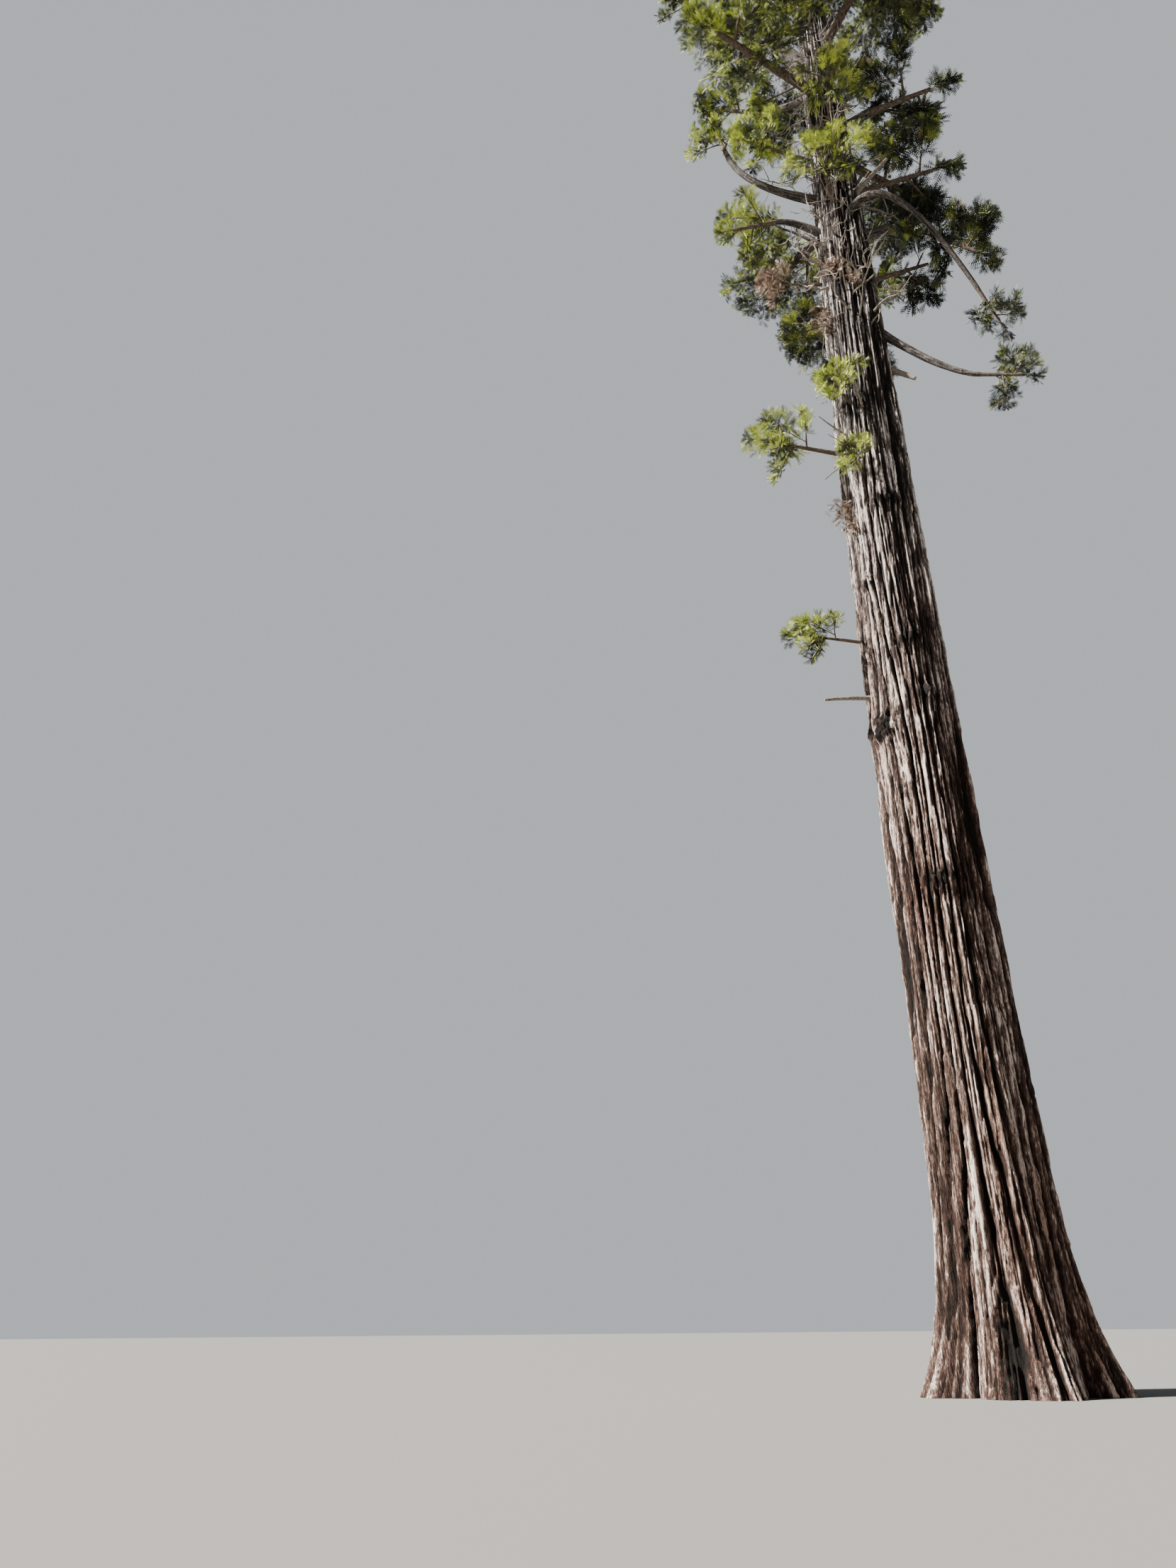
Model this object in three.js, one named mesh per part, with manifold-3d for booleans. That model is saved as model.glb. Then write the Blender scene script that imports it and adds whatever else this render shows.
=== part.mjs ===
// A coast redwood of the old forest, 84 m high, evenly reduced so that it stands 40 m high.
// Millimetres, +Z up. The origin is the middle of the flat cut at ground level, +Y points away
// from the side that the tree is looked at from, and +X to that side's right.
// Every size below is in metres of the living tree, and toModel turns it into model millimetres.
import * as THREE from "three";
import { mergeVertices } from "three/addons/utils/BufferGeometryUtils.js";
import Module from "manifold-3d";

const wasm = await Module();
wasm.setup();

// Driving dimensions
const TREE_HEIGHT = 84;
const MODEL_HEIGHT_MM = 40000;
const toModel = MODEL_HEIGHT_MM / TREE_HEIGHT;
const CLEARANCE = 0.3 / toModel;
const CUTTER_SHARE = 1.3;

const TRUNK_TOP = 80.6;
const TRUNK_DIAMETER = 3.14;
const TAPER_POWER = 1.5;
const FLARE = 0.8;
const FLARE_HEIGHT = 1.9;
const BOW = 0.2;
const BOW_HEIGHT = 52;
const CREST_DRIFT = 0.3;
const CREST_SWERVE = -0.12;
const TRUNK_RINGS = 17;
const RING_CROWDING = 1.7;

// The flutes are waves round the trunk: how many, how deep for the radius, and where they start.
const FLUTES = [
  { count: 5, depth: 0.034, start: 0.6 },
  { count: 8, depth: 0.03, start: 2.1 },
];
const FLUTE_TWIST = 0.012;
const FOOT_FLUTING = 2.2;
const FOOT_FLUTING_HEIGHT = 2.6;

// Ribs of bark run up side by side, with a furrow between each two. Slow waves make them wander,
// wider here and narrower there: waves round the trunk, length up it, start, and swing in ribs.
const RIBS = { count: 24, furrow: 0.11 };
const RIB_WANDERS = [
  { waves: 2, length: 41, start: 0.4, swing: 0.5 },
  { waves: 3, length: -23, start: 2.2, swing: 0.35 },
  { waves: 5, length: 14, start: 5.1, swing: 0.16 },
];
const SETTLING = 40;
const FURROW_SHARE = 0.08;

const LIMB_SIDES = 6;
const LIMB_STEPS = 4;
const LIMB_FOOT = 0.3;
const LIMB_ENTRY = 0.8;
const LIMB_TAPER = 0.5;
const SNAG_TAPER = 0.45;
const SNAG_CROOK = 0.6;

// A mass's size is the mean of its three half sizes. Its stem, twigs and sprays are shares of that.
// Depths in a mass's space run from 0 in its middle to 1 on its skin.
const STEM_RADIUS = 0.075;
const STEM_TAPER = 0.5;
const STEM_STEPS = 3;
const STEM_FOOT = 0.7;
const STEM_DROP = 0.35;
const STEM_BEND = 0.35;
const STEM_REACH = 0.55;
const STEM_END = 0.93;
const TWIGS_AT_LEAST = 3;
const TWIGS_PER_SIZE = 0.66;
const TWIG_RADIUS = 0.03;
const TWIG_ENTRY = 0.8;
const TWIG_REACH = 0.55;
const TWIG_SHARE = [0.85, 1];
const TWIG_TURN = 137.5;
const TWIG_SWING = [-18, 18];
const TWIG_LEAN = [52, 78];
const TWIG_DROOP = [-0.25, 0];
const SHORTEST_TWIG = 0.2;
const LATEST_ENTRY = 0.6;
const ENTRY_STRIDE = 0.02;
const RUN_STRIDE = 0.05;
const TWIG_PROBES = [0.4, 0.7, 1];
const SPRAY_LENGTH = 1.55;
const SPRAY_SHARE = [0.85, 1.1];
const SPRAY_ROLL = [20, 80];
const SPRAY_REACH = 1.14;
const SPRAY_TRIES = [1, 0.82, 0.66, 0.52];
const SPRAY_SPACING = 0.36;
const SPRAY_PROBES = [0.25, 0.5, 0.75];
const SPRAY_SPAN = 0.45;
const OUTERMOST = 1.18;
const END_SPRAY = { share: 0.7 };
const SIDE_SPRAY = { share: 0.42, aside: 58 };
const SEED = 7919;

// A spray of needles is a flat toothed blade with a low ridge on each face. Its outline, and its
// width and thickness, are shares of its length, and its root is its first corner.
const SPRAY_WIDTH = 0.76;
const SPRAY_THICKNESS = 0.074;
const SPRAY_RIDGE = 0.45;
const SPRAY_MIDDLE = 0.55;
const SPRAY_OUTLINE = [
  { along: 0.0, wide: 0.0 },
  { along: 0.28, wide: 0.44 },
  { along: 0.38, wide: 0.2 },
  { along: 0.72, wide: 0.46 },
  { along: 0.72, wide: 0.16 },
  { along: 1.0, wide: 0.02 },
  { along: 0.56, wide: -0.52 },
  { along: 0.28, wide: -0.22 },
];

// The masses of foliage that show. Each fills a space, an ellipsoid whose middle stands at a height,
// in a compass direction (0 is +X, 90 is +Y) and at a distance from the trunk's middle. Its half
// sizes run outwards, across and upwards. A mass without a limb springs from the trunk by its own
// stem. A limb has its foot on the trunk, its radius there, and the point that it bends towards.
const SHOWN_MASSES = [
  { name: "front_shelf", height: 44.6, turn: 262, distance: 2.6, half: [1.25, 2.35, 1.25] },
  { name: "front_crest", height: 49.3, turn: 277, distance: 2.5, half: [1.4, 2.1, 1.65] },
  {
    name: "left_outer", height: 50.5, turn: 189, distance: 4.8, half: [1.45, 1.4, 2.0],
    limb: { height: 45.3, turn: 203, radius: 0.18, bend: { height: 45.8, turn: 202, distance: 4.0 } },
  },
  { name: "left_inner", height: 48.3, turn: 208, distance: 3.15, half: [1.3, 1.4, 1.6] },
  {
    name: "left_hanging", height: 43.9, turn: 198, distance: 3.85, half: [1.35, 1.35, 1.55],
    limb: { height: 42.9, turn: 203, radius: 0.18, bend: { height: 44.2, turn: 202, distance: 2.0 } },
  },
  { name: "left_small", height: 54.4, turn: 166, distance: 2.75, half: [0.85, 0.85, 0.85] },
  { name: "left_shaded", height: 39.3, turn: 158, distance: 2.15, half: [0.9, 0.95, 1.4] },
  { name: "left_withered", height: 40.9, turn: 190, distance: 2.9, half: [0.8, 0.75, 0.95] },
  { name: "right_inner", height: 41.2, turn: 18, distance: 2.6, half: [1.5, 1.55, 2.1] },
  {
    name: "right_outer", height: 41.5, turn: 6, distance: 4.5, half: [1.6, 1.65, 2.25],
    limb: { height: 43.0, turn: 22, radius: 0.17, bend: { height: 44.0, turn: 14, distance: 2.4 } },
  },
  {
    name: "right_hanging", height: 36.9, turn: 358, distance: 5.1, half: [1.1, 1.1, 1.4],
    limb: { height: 43.2, turn: 268, radius: 0.17, bend: { height: 45.2, turn: 303, distance: 3.3 } },
  },
  {
    name: "right_low", height: 33.1, turn: 353, distance: 5.1, half: [1.25, 1.15, 1.0],
    limb: { height: 38.2, turn: 2, radius: 0.16, bend: { height: 34.1, turn: 352, distance: 2.9 } },
  },
  { name: "low_crossing", height: 33.4, turn: 242, distance: 2.1, half: [0.8, 2.0, 0.85] },
  { name: "low_left", height: 31.8, turn: 199, distance: 3.1, half: [1.6, 1.25, 1.5] },
  { name: "low_front", height: 29.9, turn: 249, distance: 1.95, half: [0.6, 0.85, 0.95] },
  { name: "low_lone", height: 23.2, turn: 198, distance: 2.75, half: [1.25, 0.95, 0.8] },
  { name: "right_middle", height: 46.6, turn: 14, distance: 3.2, half: [2.1, 1.95, 2.3] },
  {
    name: "right_upper", height: 52.2, turn: 18, distance: 3.7, half: [2.4, 2.2, 2.7],
    limb: { height: 50.0, turn: 25, radius: 0.17, bend: { height: 51.2, turn: 22, distance: 1.6 } },
  },
  {
    name: "left_high", height: 63.2, turn: 178, distance: 6.0, half: [1.6, 1.6, 1.5],
    limb: { height: 57.6, turn: 165, radius: 0.2, bend: { height: 59.4, turn: 168, distance: 2.7 } },
  },
  {
    name: "left_behind", height: 56.3, turn: 158, distance: 4.9, half: [1.7, 1.7, 1.6],
    limb: { height: 53.0, turn: 142, radius: 0.19, bend: { height: 54.2, turn: 148, distance: 2.6 } },
  },
];

// The second stem that rises beside the trunk is split at its bend: a foot and an upright.
const SECOND_STEM = {
  foot: { height: 54.2, turn: 182, distance: 0.2, radius: 0.42 },
  sag: { height: 56.4, turn: 187, distance: 1.9 },
  elbow: { height: 58.8, turn: 189, distance: 2.7, radius: 0.3 },
  rise: 2.6,
  tip: { height: 66.6, turn: 188, distance: 2.5, radius: 0.14 },
};
const SECOND_STEM_MASSES = [
  { name: "second_top", height: 68.3, turn: 188, distance: 3.0, half: [1.9, 1.9, 2.1] },
  { name: "second_side", height: 65.2, turn: 212, distance: 4.4, half: [1.7, 1.7, 1.5] },
];

// Bare limbs and stubs: foot on the trunk, radius there, and where the broken end is.
const SNAGS = [
  {
    name: "snag_right", height: 35.7, turn: 355, radius: 0.17,
    end: { height: 34.3, turn: 352, distance: 1.95 },
  },
  {
    name: "snag_crown", height: 44.7, turn: 330, radius: 0.13,
    end: { height: 46.2, turn: 342, distance: 2.35 },
  },
  {
    name: "snag_low", height: 20.7, turn: 204, radius: 0.1,
    end: { height: 20.5, turn: 205, distance: 3.0 },
  },
];

// What the view hides follows a rule. The crown's reach swells and narrows with height.
const CROWN_REACH = [
  { height: 36, reach: 5.0 },
  { height: 50, reach: 6.8 },
  { height: 62, reach: 6.8 },
  { height: 72, reach: 5.2 },
  { height: 79, reach: 3.2 },
  { height: 84, reach: 1.2 },
];
const BACK = { count: 4, from: 41.5, to: 53.5, turn: 92, swing: 38 };
const UPPER = { count: 14, from: 56.5, to: 79.2, turn: 318 };
const ELBOW_ROOM = 0.62;
const STEP_ASIDE = 15;
const STEM_PROBES = 12;
const STEM_ROOM = 0.3;
const RULED_HALF = [
  { base: 0.4, perReach: 0.42, most: 3.1 },
  { base: 0.6, perReach: 0.46, most: 3.5 },
  { base: 0.9, perReach: 0.3, most: 2.9 },
];
const TOP_MASS = {
  name: "top", height: 81.45, turn: 30, distance: 0.12, half: [1.5, 1.5, 2.2], onTrunkTip: true,
};

// A repeatable stream of numbers from 0 to 1.
class Chance {
  constructor(seed) {
    this.state = seed >>> 0;
  }
  next() {
    this.state = (Math.imul(this.state, 1664525) + 1013904223) >>> 0;
    return this.state / 4294967296;
  }
  between(low, high) {
    return low + (high - low) * this.next();
  }
}

const radians = (degrees) => (degrees * Math.PI) / 180;

// The trunk's middle leans gently one way and comes back, and its crest drifts the other way.
function trunkMiddle(height) {
  const bow = -BOW * Math.sin((Math.PI * Math.min(height, BOW_HEIGHT)) / BOW_HEIGHT);
  const above = Math.max(0, height - BOW_HEIGHT) / (TREE_HEIGHT - BOW_HEIGHT);
  return new THREE.Vector3(bow + CREST_DRIFT * above * above, CREST_SWERVE * above, height);
}

function trunkRadius(height, angle) {
  const taper = 1 - Math.pow(Math.min(1, height / TREE_HEIGHT), TAPER_POWER);
  const mean = (TRUNK_DIAMETER / 2) * taper + FLARE * Math.exp(-height / FLARE_HEIGHT);
  const deepening = 1 + FOOT_FLUTING * Math.exp(-height / FOOT_FLUTING_HEIGHT);
  const waves = FLUTES.reduce(
    (sum, f) => sum + f.depth * Math.cos(f.count * (angle + FLUTE_TWIST * height) + f.start), 0);
  return mean * (1 + deepening * waves);
}

// Where a rib's crest (a whole number) or a furrow (a half) runs at a height: its angle.
function ribAngle(rib, height) {
  const turn = (2 * Math.PI) / RIBS.count;
  let angle = rib * turn;
  for (let i = 0; i < SETTLING; i += 1) {
    const wander = RIB_WANDERS.reduce((sum, w) =>
      sum + w.swing * Math.sin(w.waves * angle + (2 * Math.PI * height) / w.length + w.start), 0);
    angle = (rib - wander) * turn;
  }
  return angle;
}

// A point at a height, in a compass direction and at a distance from the trunk's middle.
function place({ height, turn, distance }) {
  const out = new THREE.Vector3(Math.cos(radians(turn)), Math.sin(radians(turn)), 0);
  return trunkMiddle(height).addScaledVector(out, distance);
}

// Turns a three.js geometry into a solid, after its shared vertices are merged.
function asSolid(geometry) {
  const bare = geometry.clone();
  bare.deleteAttribute("normal");
  bare.deleteAttribute("uv");
  const merged = mergeVertices(bare, 1e-4);
  return new wasm.Manifold(new wasm.Mesh({
    numProp: 3,
    vertProperties: new Float32Array(merged.attributes.position.array),
    triVerts: new Uint32Array(merged.index.array),
  }));
}

function asGeometry(solid) {
  const { numProp, vertProperties, triVerts, numVert } = solid.getMesh();
  const positions = new Float32Array(numVert * 3);
  for (let i = 0; i < numVert; i += 1) {
    positions.set(vertProperties.subarray(i * numProp, i * numProp + 3), i * 3);
  }
  const geometry = new THREE.BufferGeometry();
  geometry.setAttribute("position", new THREE.BufferAttribute(positions, 3));
  geometry.setIndex(new THREE.BufferAttribute(new Uint32Array(triVerts), 1));
  geometry.computeVertexNormals();
  return geometry;
}

// Moves each vertex of a geometry to where a function puts it, in metres of the tree.
function reshape(geometry, move) {
  const position = geometry.attributes.position;
  const vertex = new THREE.Vector3();
  for (let i = 0; i < position.count; i += 1) {
    move(vertex.fromBufferAttribute(position, i)).multiplyScalar(toModel);
    position.setXYZ(i, vertex.x, vertex.y, vertex.z);
  }
  return geometry;
}

// The trunk, and the same a little wider, which cuts what springs from it.
function trunkSolid(wider) {
  const sides = 2 * RIBS.count;
  const drum = new THREE.CylinderGeometry(1, 1, 1, sides, TRUNK_RINGS).rotateX(Math.PI / 2);
  return asSolid(reshape(drum, (v) => {
    const height = TRUNK_TOP * Math.pow(v.z + 0.5, RING_CROWDING);
    const side = Math.round((Math.atan2(v.y, v.x) / (2 * Math.PI)) * sides);
    const angle = ribAngle(side / 2, height);
    const radius = trunkRadius(height, angle);
    const furrow = side % 2 ? Math.min(RIBS.furrow, FURROW_SHARE * radius) : 0;
    const reach = Math.min(1, Math.hypot(v.x, v.y)) * (radius - furrow + wider);
    const out = new THREE.Vector3(Math.cos(angle), Math.sin(angle), 0);
    return v.copy(trunkMiddle(height)).addScaledVector(out, reach);
  }));
}

// A tapering limb along a curve.
function taperedLimb(curve, footRadius, tipRadius, sides, steps) {
  const frames = curve.computeFrenetFrames(steps, false);
  const drum = new THREE.CylinderGeometry(1, 1, 1, sides, steps);
  return asSolid(reshape(drum, (v) => {
    const step = Math.round((v.y + 0.5) * steps);
    const radius = THREE.MathUtils.lerp(footRadius, tipRadius, step / steps);
    const across = frames.normals[step].clone().multiplyScalar(v.x * radius);
    const over = frames.binormals[step].clone().multiplyScalar(-v.z * radius);
    return v.copy(curve.getPoint(step / steps)).add(across).add(over);
  }));
}

function sprayCorners({ root, ahead, side, length }) {
  return SPRAY_OUTLINE.map(({ along, wide }) => root.clone()
    .addScaledVector(ahead, along * length)
    .addScaledVector(side, wide * length * SPRAY_WIDTH));
}

function spraySolid(spray) {
  const corners = sprayCorners(spray);
  const ridge = spray.root.clone().addScaledVector(spray.ahead, SPRAY_RIDGE * spray.length);
  const over = new THREE.Vector3().crossVectors(spray.side, spray.ahead);
  const blade = new THREE.SphereGeometry(1, corners.length, 2);
  return asSolid(reshape(blade, (v) => {
    const turn = Math.atan2(v.z, -v.x) / (2 * Math.PI) + 1;
    const corner = corners[Math.round(turn * corners.length) % corners.length];
    const lift = (Math.round(v.y) * spray.length * SPRAY_THICKNESS) / 2;
    return v.copy(lift === 0 ? corner : ridge).addScaledVector(over, lift);
  }));
}

// A side twig: a three-sided spike with its point in its end spray.
function twigSolid({ from, tip, radius }) {
  const ahead = tip.clone().sub(from).normalize();
  const up = sideways(ahead, Math.PI / 2);
  const side = new THREE.Vector3().crossVectors(up, ahead);
  const spike = new THREE.ConeGeometry(1, 1, 3);
  return asSolid(reshape(spike, (v) => {
    const share = v.y + 0.5;
    const [across, over] = [v.x * radius, v.z * radius];
    return v.copy(from).lerp(tip, share).addScaledVector(up, across).addScaledVector(side, over);
  }));
}

// Any direction square to an axis, turned about it by an angle.
function sideways(axis, angle) {
  const upwards = Math.abs(axis.z) > 0.9 ? new THREE.Vector3(1, 0, 0) : new THREE.Vector3(0, 0, 1);
  const first = new THREE.Vector3().crossVectors(axis, upwards).normalize();
  const second = new THREE.Vector3().crossVectors(first, axis).normalize();
  return first.multiplyScalar(Math.cos(angle)).addScaledVector(second, Math.sin(angle));
}

// How far out in its space a point lies: 0 in the middle, 1 on the skin.
function depthIn(space, point) {
  const from = point.clone().sub(space.centre);
  return Math.hypot(
    from.dot(space.out) / space.half[0],
    from.dot(space.across) / space.half[1],
    from.z / space.half[2],
  );
}

// The point on the line from a space's middle towards another point, a share of the way to the skin.
function towardsSkin(space, goal, share) {
  const way = goal.clone().sub(space.centre).normalize();
  const skin = 1 / depthIn(space, space.centre.clone().add(way));
  return space.centre.clone().addScaledVector(way, share * skin);
}

function spaceOf(row) {
  const out = new THREE.Vector3(Math.cos(radians(row.turn)), Math.sin(radians(row.turn)), 0);
  const across = new THREE.Vector3(-out.y, out.x, 0);
  const size = Math.cbrt(row.half[0] * row.half[1] * row.half[2]);
  return { ...row, centre: place(row), out, across, size };
}

function crownReach(height) {
  const above = CROWN_REACH.findIndex((level) => level.height >= height);
  const [low, high] = [CROWN_REACH[above - 1], CROWN_REACH[above]];
  const share = (height - low.height) / (high.height - low.height);
  return THREE.MathUtils.lerp(low.reach, high.reach, share);
}

// Where a limb's foot lies, inside the trunk.
function footOf({ height, turn }) {
  return place({ height, turn, distance: LIMB_FOOT * trunkRadius(height, radians(turn)) });
}

// A limb runs from inside the trunk to the near edge of its mass.
function massLimb(space) {
  const { limb } = space;
  const bend = place(limb.bend);
  const end = towardsSkin(space, bend, LIMB_ENTRY);
  const curve = new THREE.QuadraticBezierCurve3(footOf(limb), bend, end);
  const tipRadius = Math.max(STEM_RADIUS * space.size, LIMB_TAPER * limb.radius);
  return { name: `${space.name}_limb`, curve, radius: limb.radius, tipRadius, carries: space.name };
}

function snagLimb({ name, height, turn, radius, end }) {
  const foot = footOf({ height, turn });
  const tip = place(end);
  const crook = foot.clone().lerp(tip, SNAG_CROOK).add(new THREE.Vector3(0, 0, radius));
  const curve = new THREE.QuadraticBezierCurve3(foot, crook, tip);
  return { name, curve, radius, tipRadius: SNAG_TAPER * radius, dead: true };
}

// The upright starts square to the foot's end, so that their flat ends face each other.
function secondStemLimbs({ foot, sag, elbow, rise, tip }) {
  const end = place(elbow);
  const lower = new THREE.QuadraticBezierCurve3(place(foot), place(sag), end);
  const onwards = lower.getTangent(1);
  const start = end.clone().addScaledVector(onwards, CLEARANCE);
  const bend = end.clone().addScaledVector(onwards, rise);
  const upper = new THREE.QuadraticBezierCurve3(start, bend, place(tip));
  return [
    { name: "second_stem_foot", curve: lower, radius: foot.radius, tipRadius: elbow.radius },
    {
      name: "second_stem_upright", curve: upper, radius: elbow.radius, tipRadius: tip.radius,
      carries: "second_top",
    },
  ];
}

const shownSpaces = [...SHOWN_MASSES, ...SECOND_STEM_MASSES].map(spaceOf);
const limbs = [
  ...shownSpaces.filter((space) => space.limb).map(massLimb),
  ...SNAGS.map(snagLimb),
  ...secondStemLimbs(SECOND_STEM),
];

// Points along the limbs, with the limb's radius there, that foliage keeps away from.
const LIMB_SAMPLES = 24;
const guards = limbs.flatMap((limb) =>
  Array.from({ length: LIMB_SAMPLES + 1 }, (unused, i) => ({
    point: limb.curve.getPoint(i / LIMB_SAMPLES),
    radius: THREE.MathUtils.lerp(limb.radius, limb.tipRadius, i / LIMB_SAMPLES),
  })));
const ROOM = 0.1;
const OWN_SHARE = 0.03;

function isClearOfLimbs(point, room) {
  return guards.every((guard) => guard.point.distanceTo(point) > guard.radius + room);
}

function isFree(space, point) {
  const depth = depthIn(space, point);
  const isNearer = (other) => other !== space && depthIn(other, point) < depth + OWN_SHARE;
  if (depth > OUTERMOST || spaces.some(isNearer)) return false;
  const middle = trunkMiddle(point.z);
  const angle = Math.atan2(point.y - middle.y, point.x - middle.x);
  const away = Math.hypot(point.x - middle.x, point.y - middle.y);
  if (point.z < TRUNK_TOP + ROOM && away < trunkRadius(point.z, angle) + ROOM) return false;
  return isClearOfLimbs(point, ROOM);
}

// Whether a limb runs through a spray, which its corners alone don't tell.
function isPierced({ root, ahead, side, length }) {
  const over = new THREE.Vector3().crossVectors(side, ahead);
  return guards.some(({ point, radius }) => {
    const from = point.clone().sub(root);
    const isAbreast = Math.abs(from.dot(side)) < SPRAY_SPAN * SPRAY_WIDTH * length + radius;
    const isAlong = Math.abs(from.dot(ahead) - length / 2) < length / 2 + radius;
    return isAbreast && isAlong && Math.abs(from.dot(over)) < radius + ROOM;
  });
}

// A mass's stem starts a hair past its limb's tip, on the trunk's tip, or inside the trunk, which
// cuts it clear. It sets off as its limb does and ends on the far side of its space.
function stemCurve(space) {
  const carrier = limbs.find((limb) => limb.carries === space.name);
  let root;
  let ahead;
  if (carrier) {
    ahead = carrier.curve.getTangent(1);
    root = carrier.curve.getPoint(1).addScaledVector(ahead, CLEARANCE);
  } else if (space.onTrunkTip) {
    ahead = new THREE.Vector3(0, 0, 1);
    root = trunkMiddle(TRUNK_TOP).addScaledVector(ahead, CLEARANCE);
  } else {
    const height = space.height - STEM_DROP * space.half[2];
    const distance = STEM_FOOT * trunkRadius(height, radians(space.turn));
    root = place({ height, turn: space.turn, distance });
    ahead = space.centre.clone().sub(root).normalize();
  }
  const opposite = space.centre.clone().multiplyScalar(2).sub(root);
  const far = towardsSkin(space, opposite, STEM_REACH);
  const bend = root.clone().addScaledVector(ahead, STEM_BEND * root.distanceTo(far));
  return new THREE.QuadraticBezierCurve3(root, bend, far);
}

// A hidden mass reaches from the trunk out to the crown's reach.
function hiddenSpace(name, height, turn) {
  const reach = crownReach(height);
  const half = RULED_HALF.map(({ base, perReach, most }) => Math.min(most, base + perReach * reach));
  return spaceOf({ name, height, turn, distance: reach - half[0], half });
}

// Each hidden mass steps round the trunk until it stands clear of the masses placed before it, and
// its stem of the limbs.
function hiddenSpaces(placed) {
  const found = [];
  function add(name, height, turn) {
    let space = hiddenSpace(name, height, turn);
    const isCrowded = (other) =>
      other.centre.distanceTo(space.centre) < ELBOW_ROOM * (other.half[1] + space.half[1]);
    const isBlocked = () =>
      !stemCurve(space).getPoints(STEM_PROBES).every((point) => isClearOfLimbs(point, STEM_ROOM));
    const isUnfit = () => [...placed, ...found].some(isCrowded) || isBlocked();
    for (let step = 1; isUnfit() && step < 360 / STEP_ASIDE; step += 1) {
      space = hiddenSpace(name, height, turn + STEP_ASIDE * step);
    }
    found.push(space);
  }
  for (let i = 0; i < BACK.count; i += 1) {
    const height = THREE.MathUtils.lerp(BACK.from, BACK.to, i / (BACK.count - 1));
    add(`back_${i + 1}`, height, BACK.turn + BACK.swing * (i % 2 ? 1 : -1));
  }
  for (let i = 0; i < UPPER.count; i += 1) {
    const height = THREE.MathUtils.lerp(UPPER.from, UPPER.to, i / (UPPER.count - 1));
    add(`upper_${i + 1}`, height, UPPER.turn + i * TWIG_TURN);
  }
  return found;
}

const spaces = [...shownSpaces, ...hiddenSpaces(shownSpaces), spaceOf(TOP_MASS)];

// How far a point can go in a direction before it leaves a space.
function runTo(space, from, direction, share) {
  let run = 0;
  const depthAt = (reach) => depthIn(space, from.clone().addScaledVector(direction, reach));
  while (depthAt(run + RUN_STRIDE) < share) run += RUN_STRIDE;
  return run;
}

// A mass of foliage grows by one rule. Twigs turn about its stem by the golden angle, lean forwards
// and droop, and each carries an end spray and one on a side. Whatever would leave the mass's
// space, touch a limb or crowd another spray is made smaller, and in the end skipped.
function growMass(space, index) {
  const chance = new Chance(SEED * (index + 1));
  const stem = stemCurve(space);
  const twigCount = Math.round(TWIGS_AT_LEAST + TWIGS_PER_SIZE * space.size);
  const twigs = [];
  const sprays = [];

  function addSpray(root, ahead) {
    const roll = chance.between(...SPRAY_ROLL) * (sprays.length % 2 ? 1 : -1);
    const side = sideways(ahead, radians(roll));
    const longest = SPRAY_LENGTH * space.size * chance.between(...SPRAY_SHARE);
    const room = Math.min(longest, runTo(space, root, ahead, SPRAY_REACH));
    for (const share of SPRAY_TRIES) {
      const length = room * share;
      const middle = root.clone().addScaledVector(ahead, SPRAY_MIDDLE * length);
      const spray = { root, ahead, side, length, middle };
      const isNear = (other) => other.middle.distanceTo(middle) < SPRAY_SPACING * space.size;
      const along = SPRAY_PROBES.map((part) => root.clone().addScaledVector(ahead, part * length));
      const probes = [...sprayCorners(spray).slice(1), ...along];
      const isOpen = probes.every((point) => isFree(space, point)) && !isPierced(spray);
      if (isOpen && !sprays.some(isNear)) {
        sprays.push(spray);
        return true;
      }
    }
    return false;
  }

  let entry = 0;
  while (entry < LATEST_ENTRY && depthIn(space, stem.getPoint(entry)) > TWIG_ENTRY) entry += ENTRY_STRIDE;
  addSpray(stem.getPoint(STEM_END), stem.getTangent(1));
  for (let i = 0; i < twigCount; i += 1) {
    const along = THREE.MathUtils.lerp(entry, STEM_END, (i + 0.5) / twigCount);
    const from = stem.getPoint(along);
    const axis = stem.getTangent(along);
    const turn = sideways(axis, radians(TWIG_TURN * i + chance.between(...TWIG_SWING)));
    const lean = radians(chance.between(...TWIG_LEAN));
    const ahead = new THREE.Vector3(0, 0, chance.between(...TWIG_DROOP))
      .addScaledVector(axis, Math.cos(lean)).addScaledVector(turn, Math.sin(lean)).normalize();
    const run = runTo(space, from, ahead, TWIG_REACH) * chance.between(...TWIG_SHARE);
    const tip = from.clone().addScaledVector(ahead, run);
    const isOpen = TWIG_PROBES.every((share) => isFree(space, from.clone().lerp(tip, share)));
    if (run < SHORTEST_TWIG || !isOpen) continue;
    const aside = radians(SIDE_SPRAY.aside * (i % 2 ? 1 : -1));
    const turned = ahead.clone().multiplyScalar(Math.cos(aside))
      .addScaledVector(sideways(ahead, 0), Math.sin(aside));
    const hasEnd = addSpray(from.clone().lerp(tip, END_SPRAY.share), ahead);
    const hasSide = addSpray(from.clone().lerp(tip, SIDE_SPRAY.share), turned);
    if (hasEnd || hasSide) twigs.push({ from, tip, radius: TWIG_RADIUS * space.size });
  }
  return { stem, twigs, sprays };
}

// Fusing can seal a small hollow or leave a scrap: only the outside of the largest body is kept.
function wholeBody(solid) {
  const [largest] = solid.decompose().sort((a, b) => b.volume() - a.volume());
  return largest;
}

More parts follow.
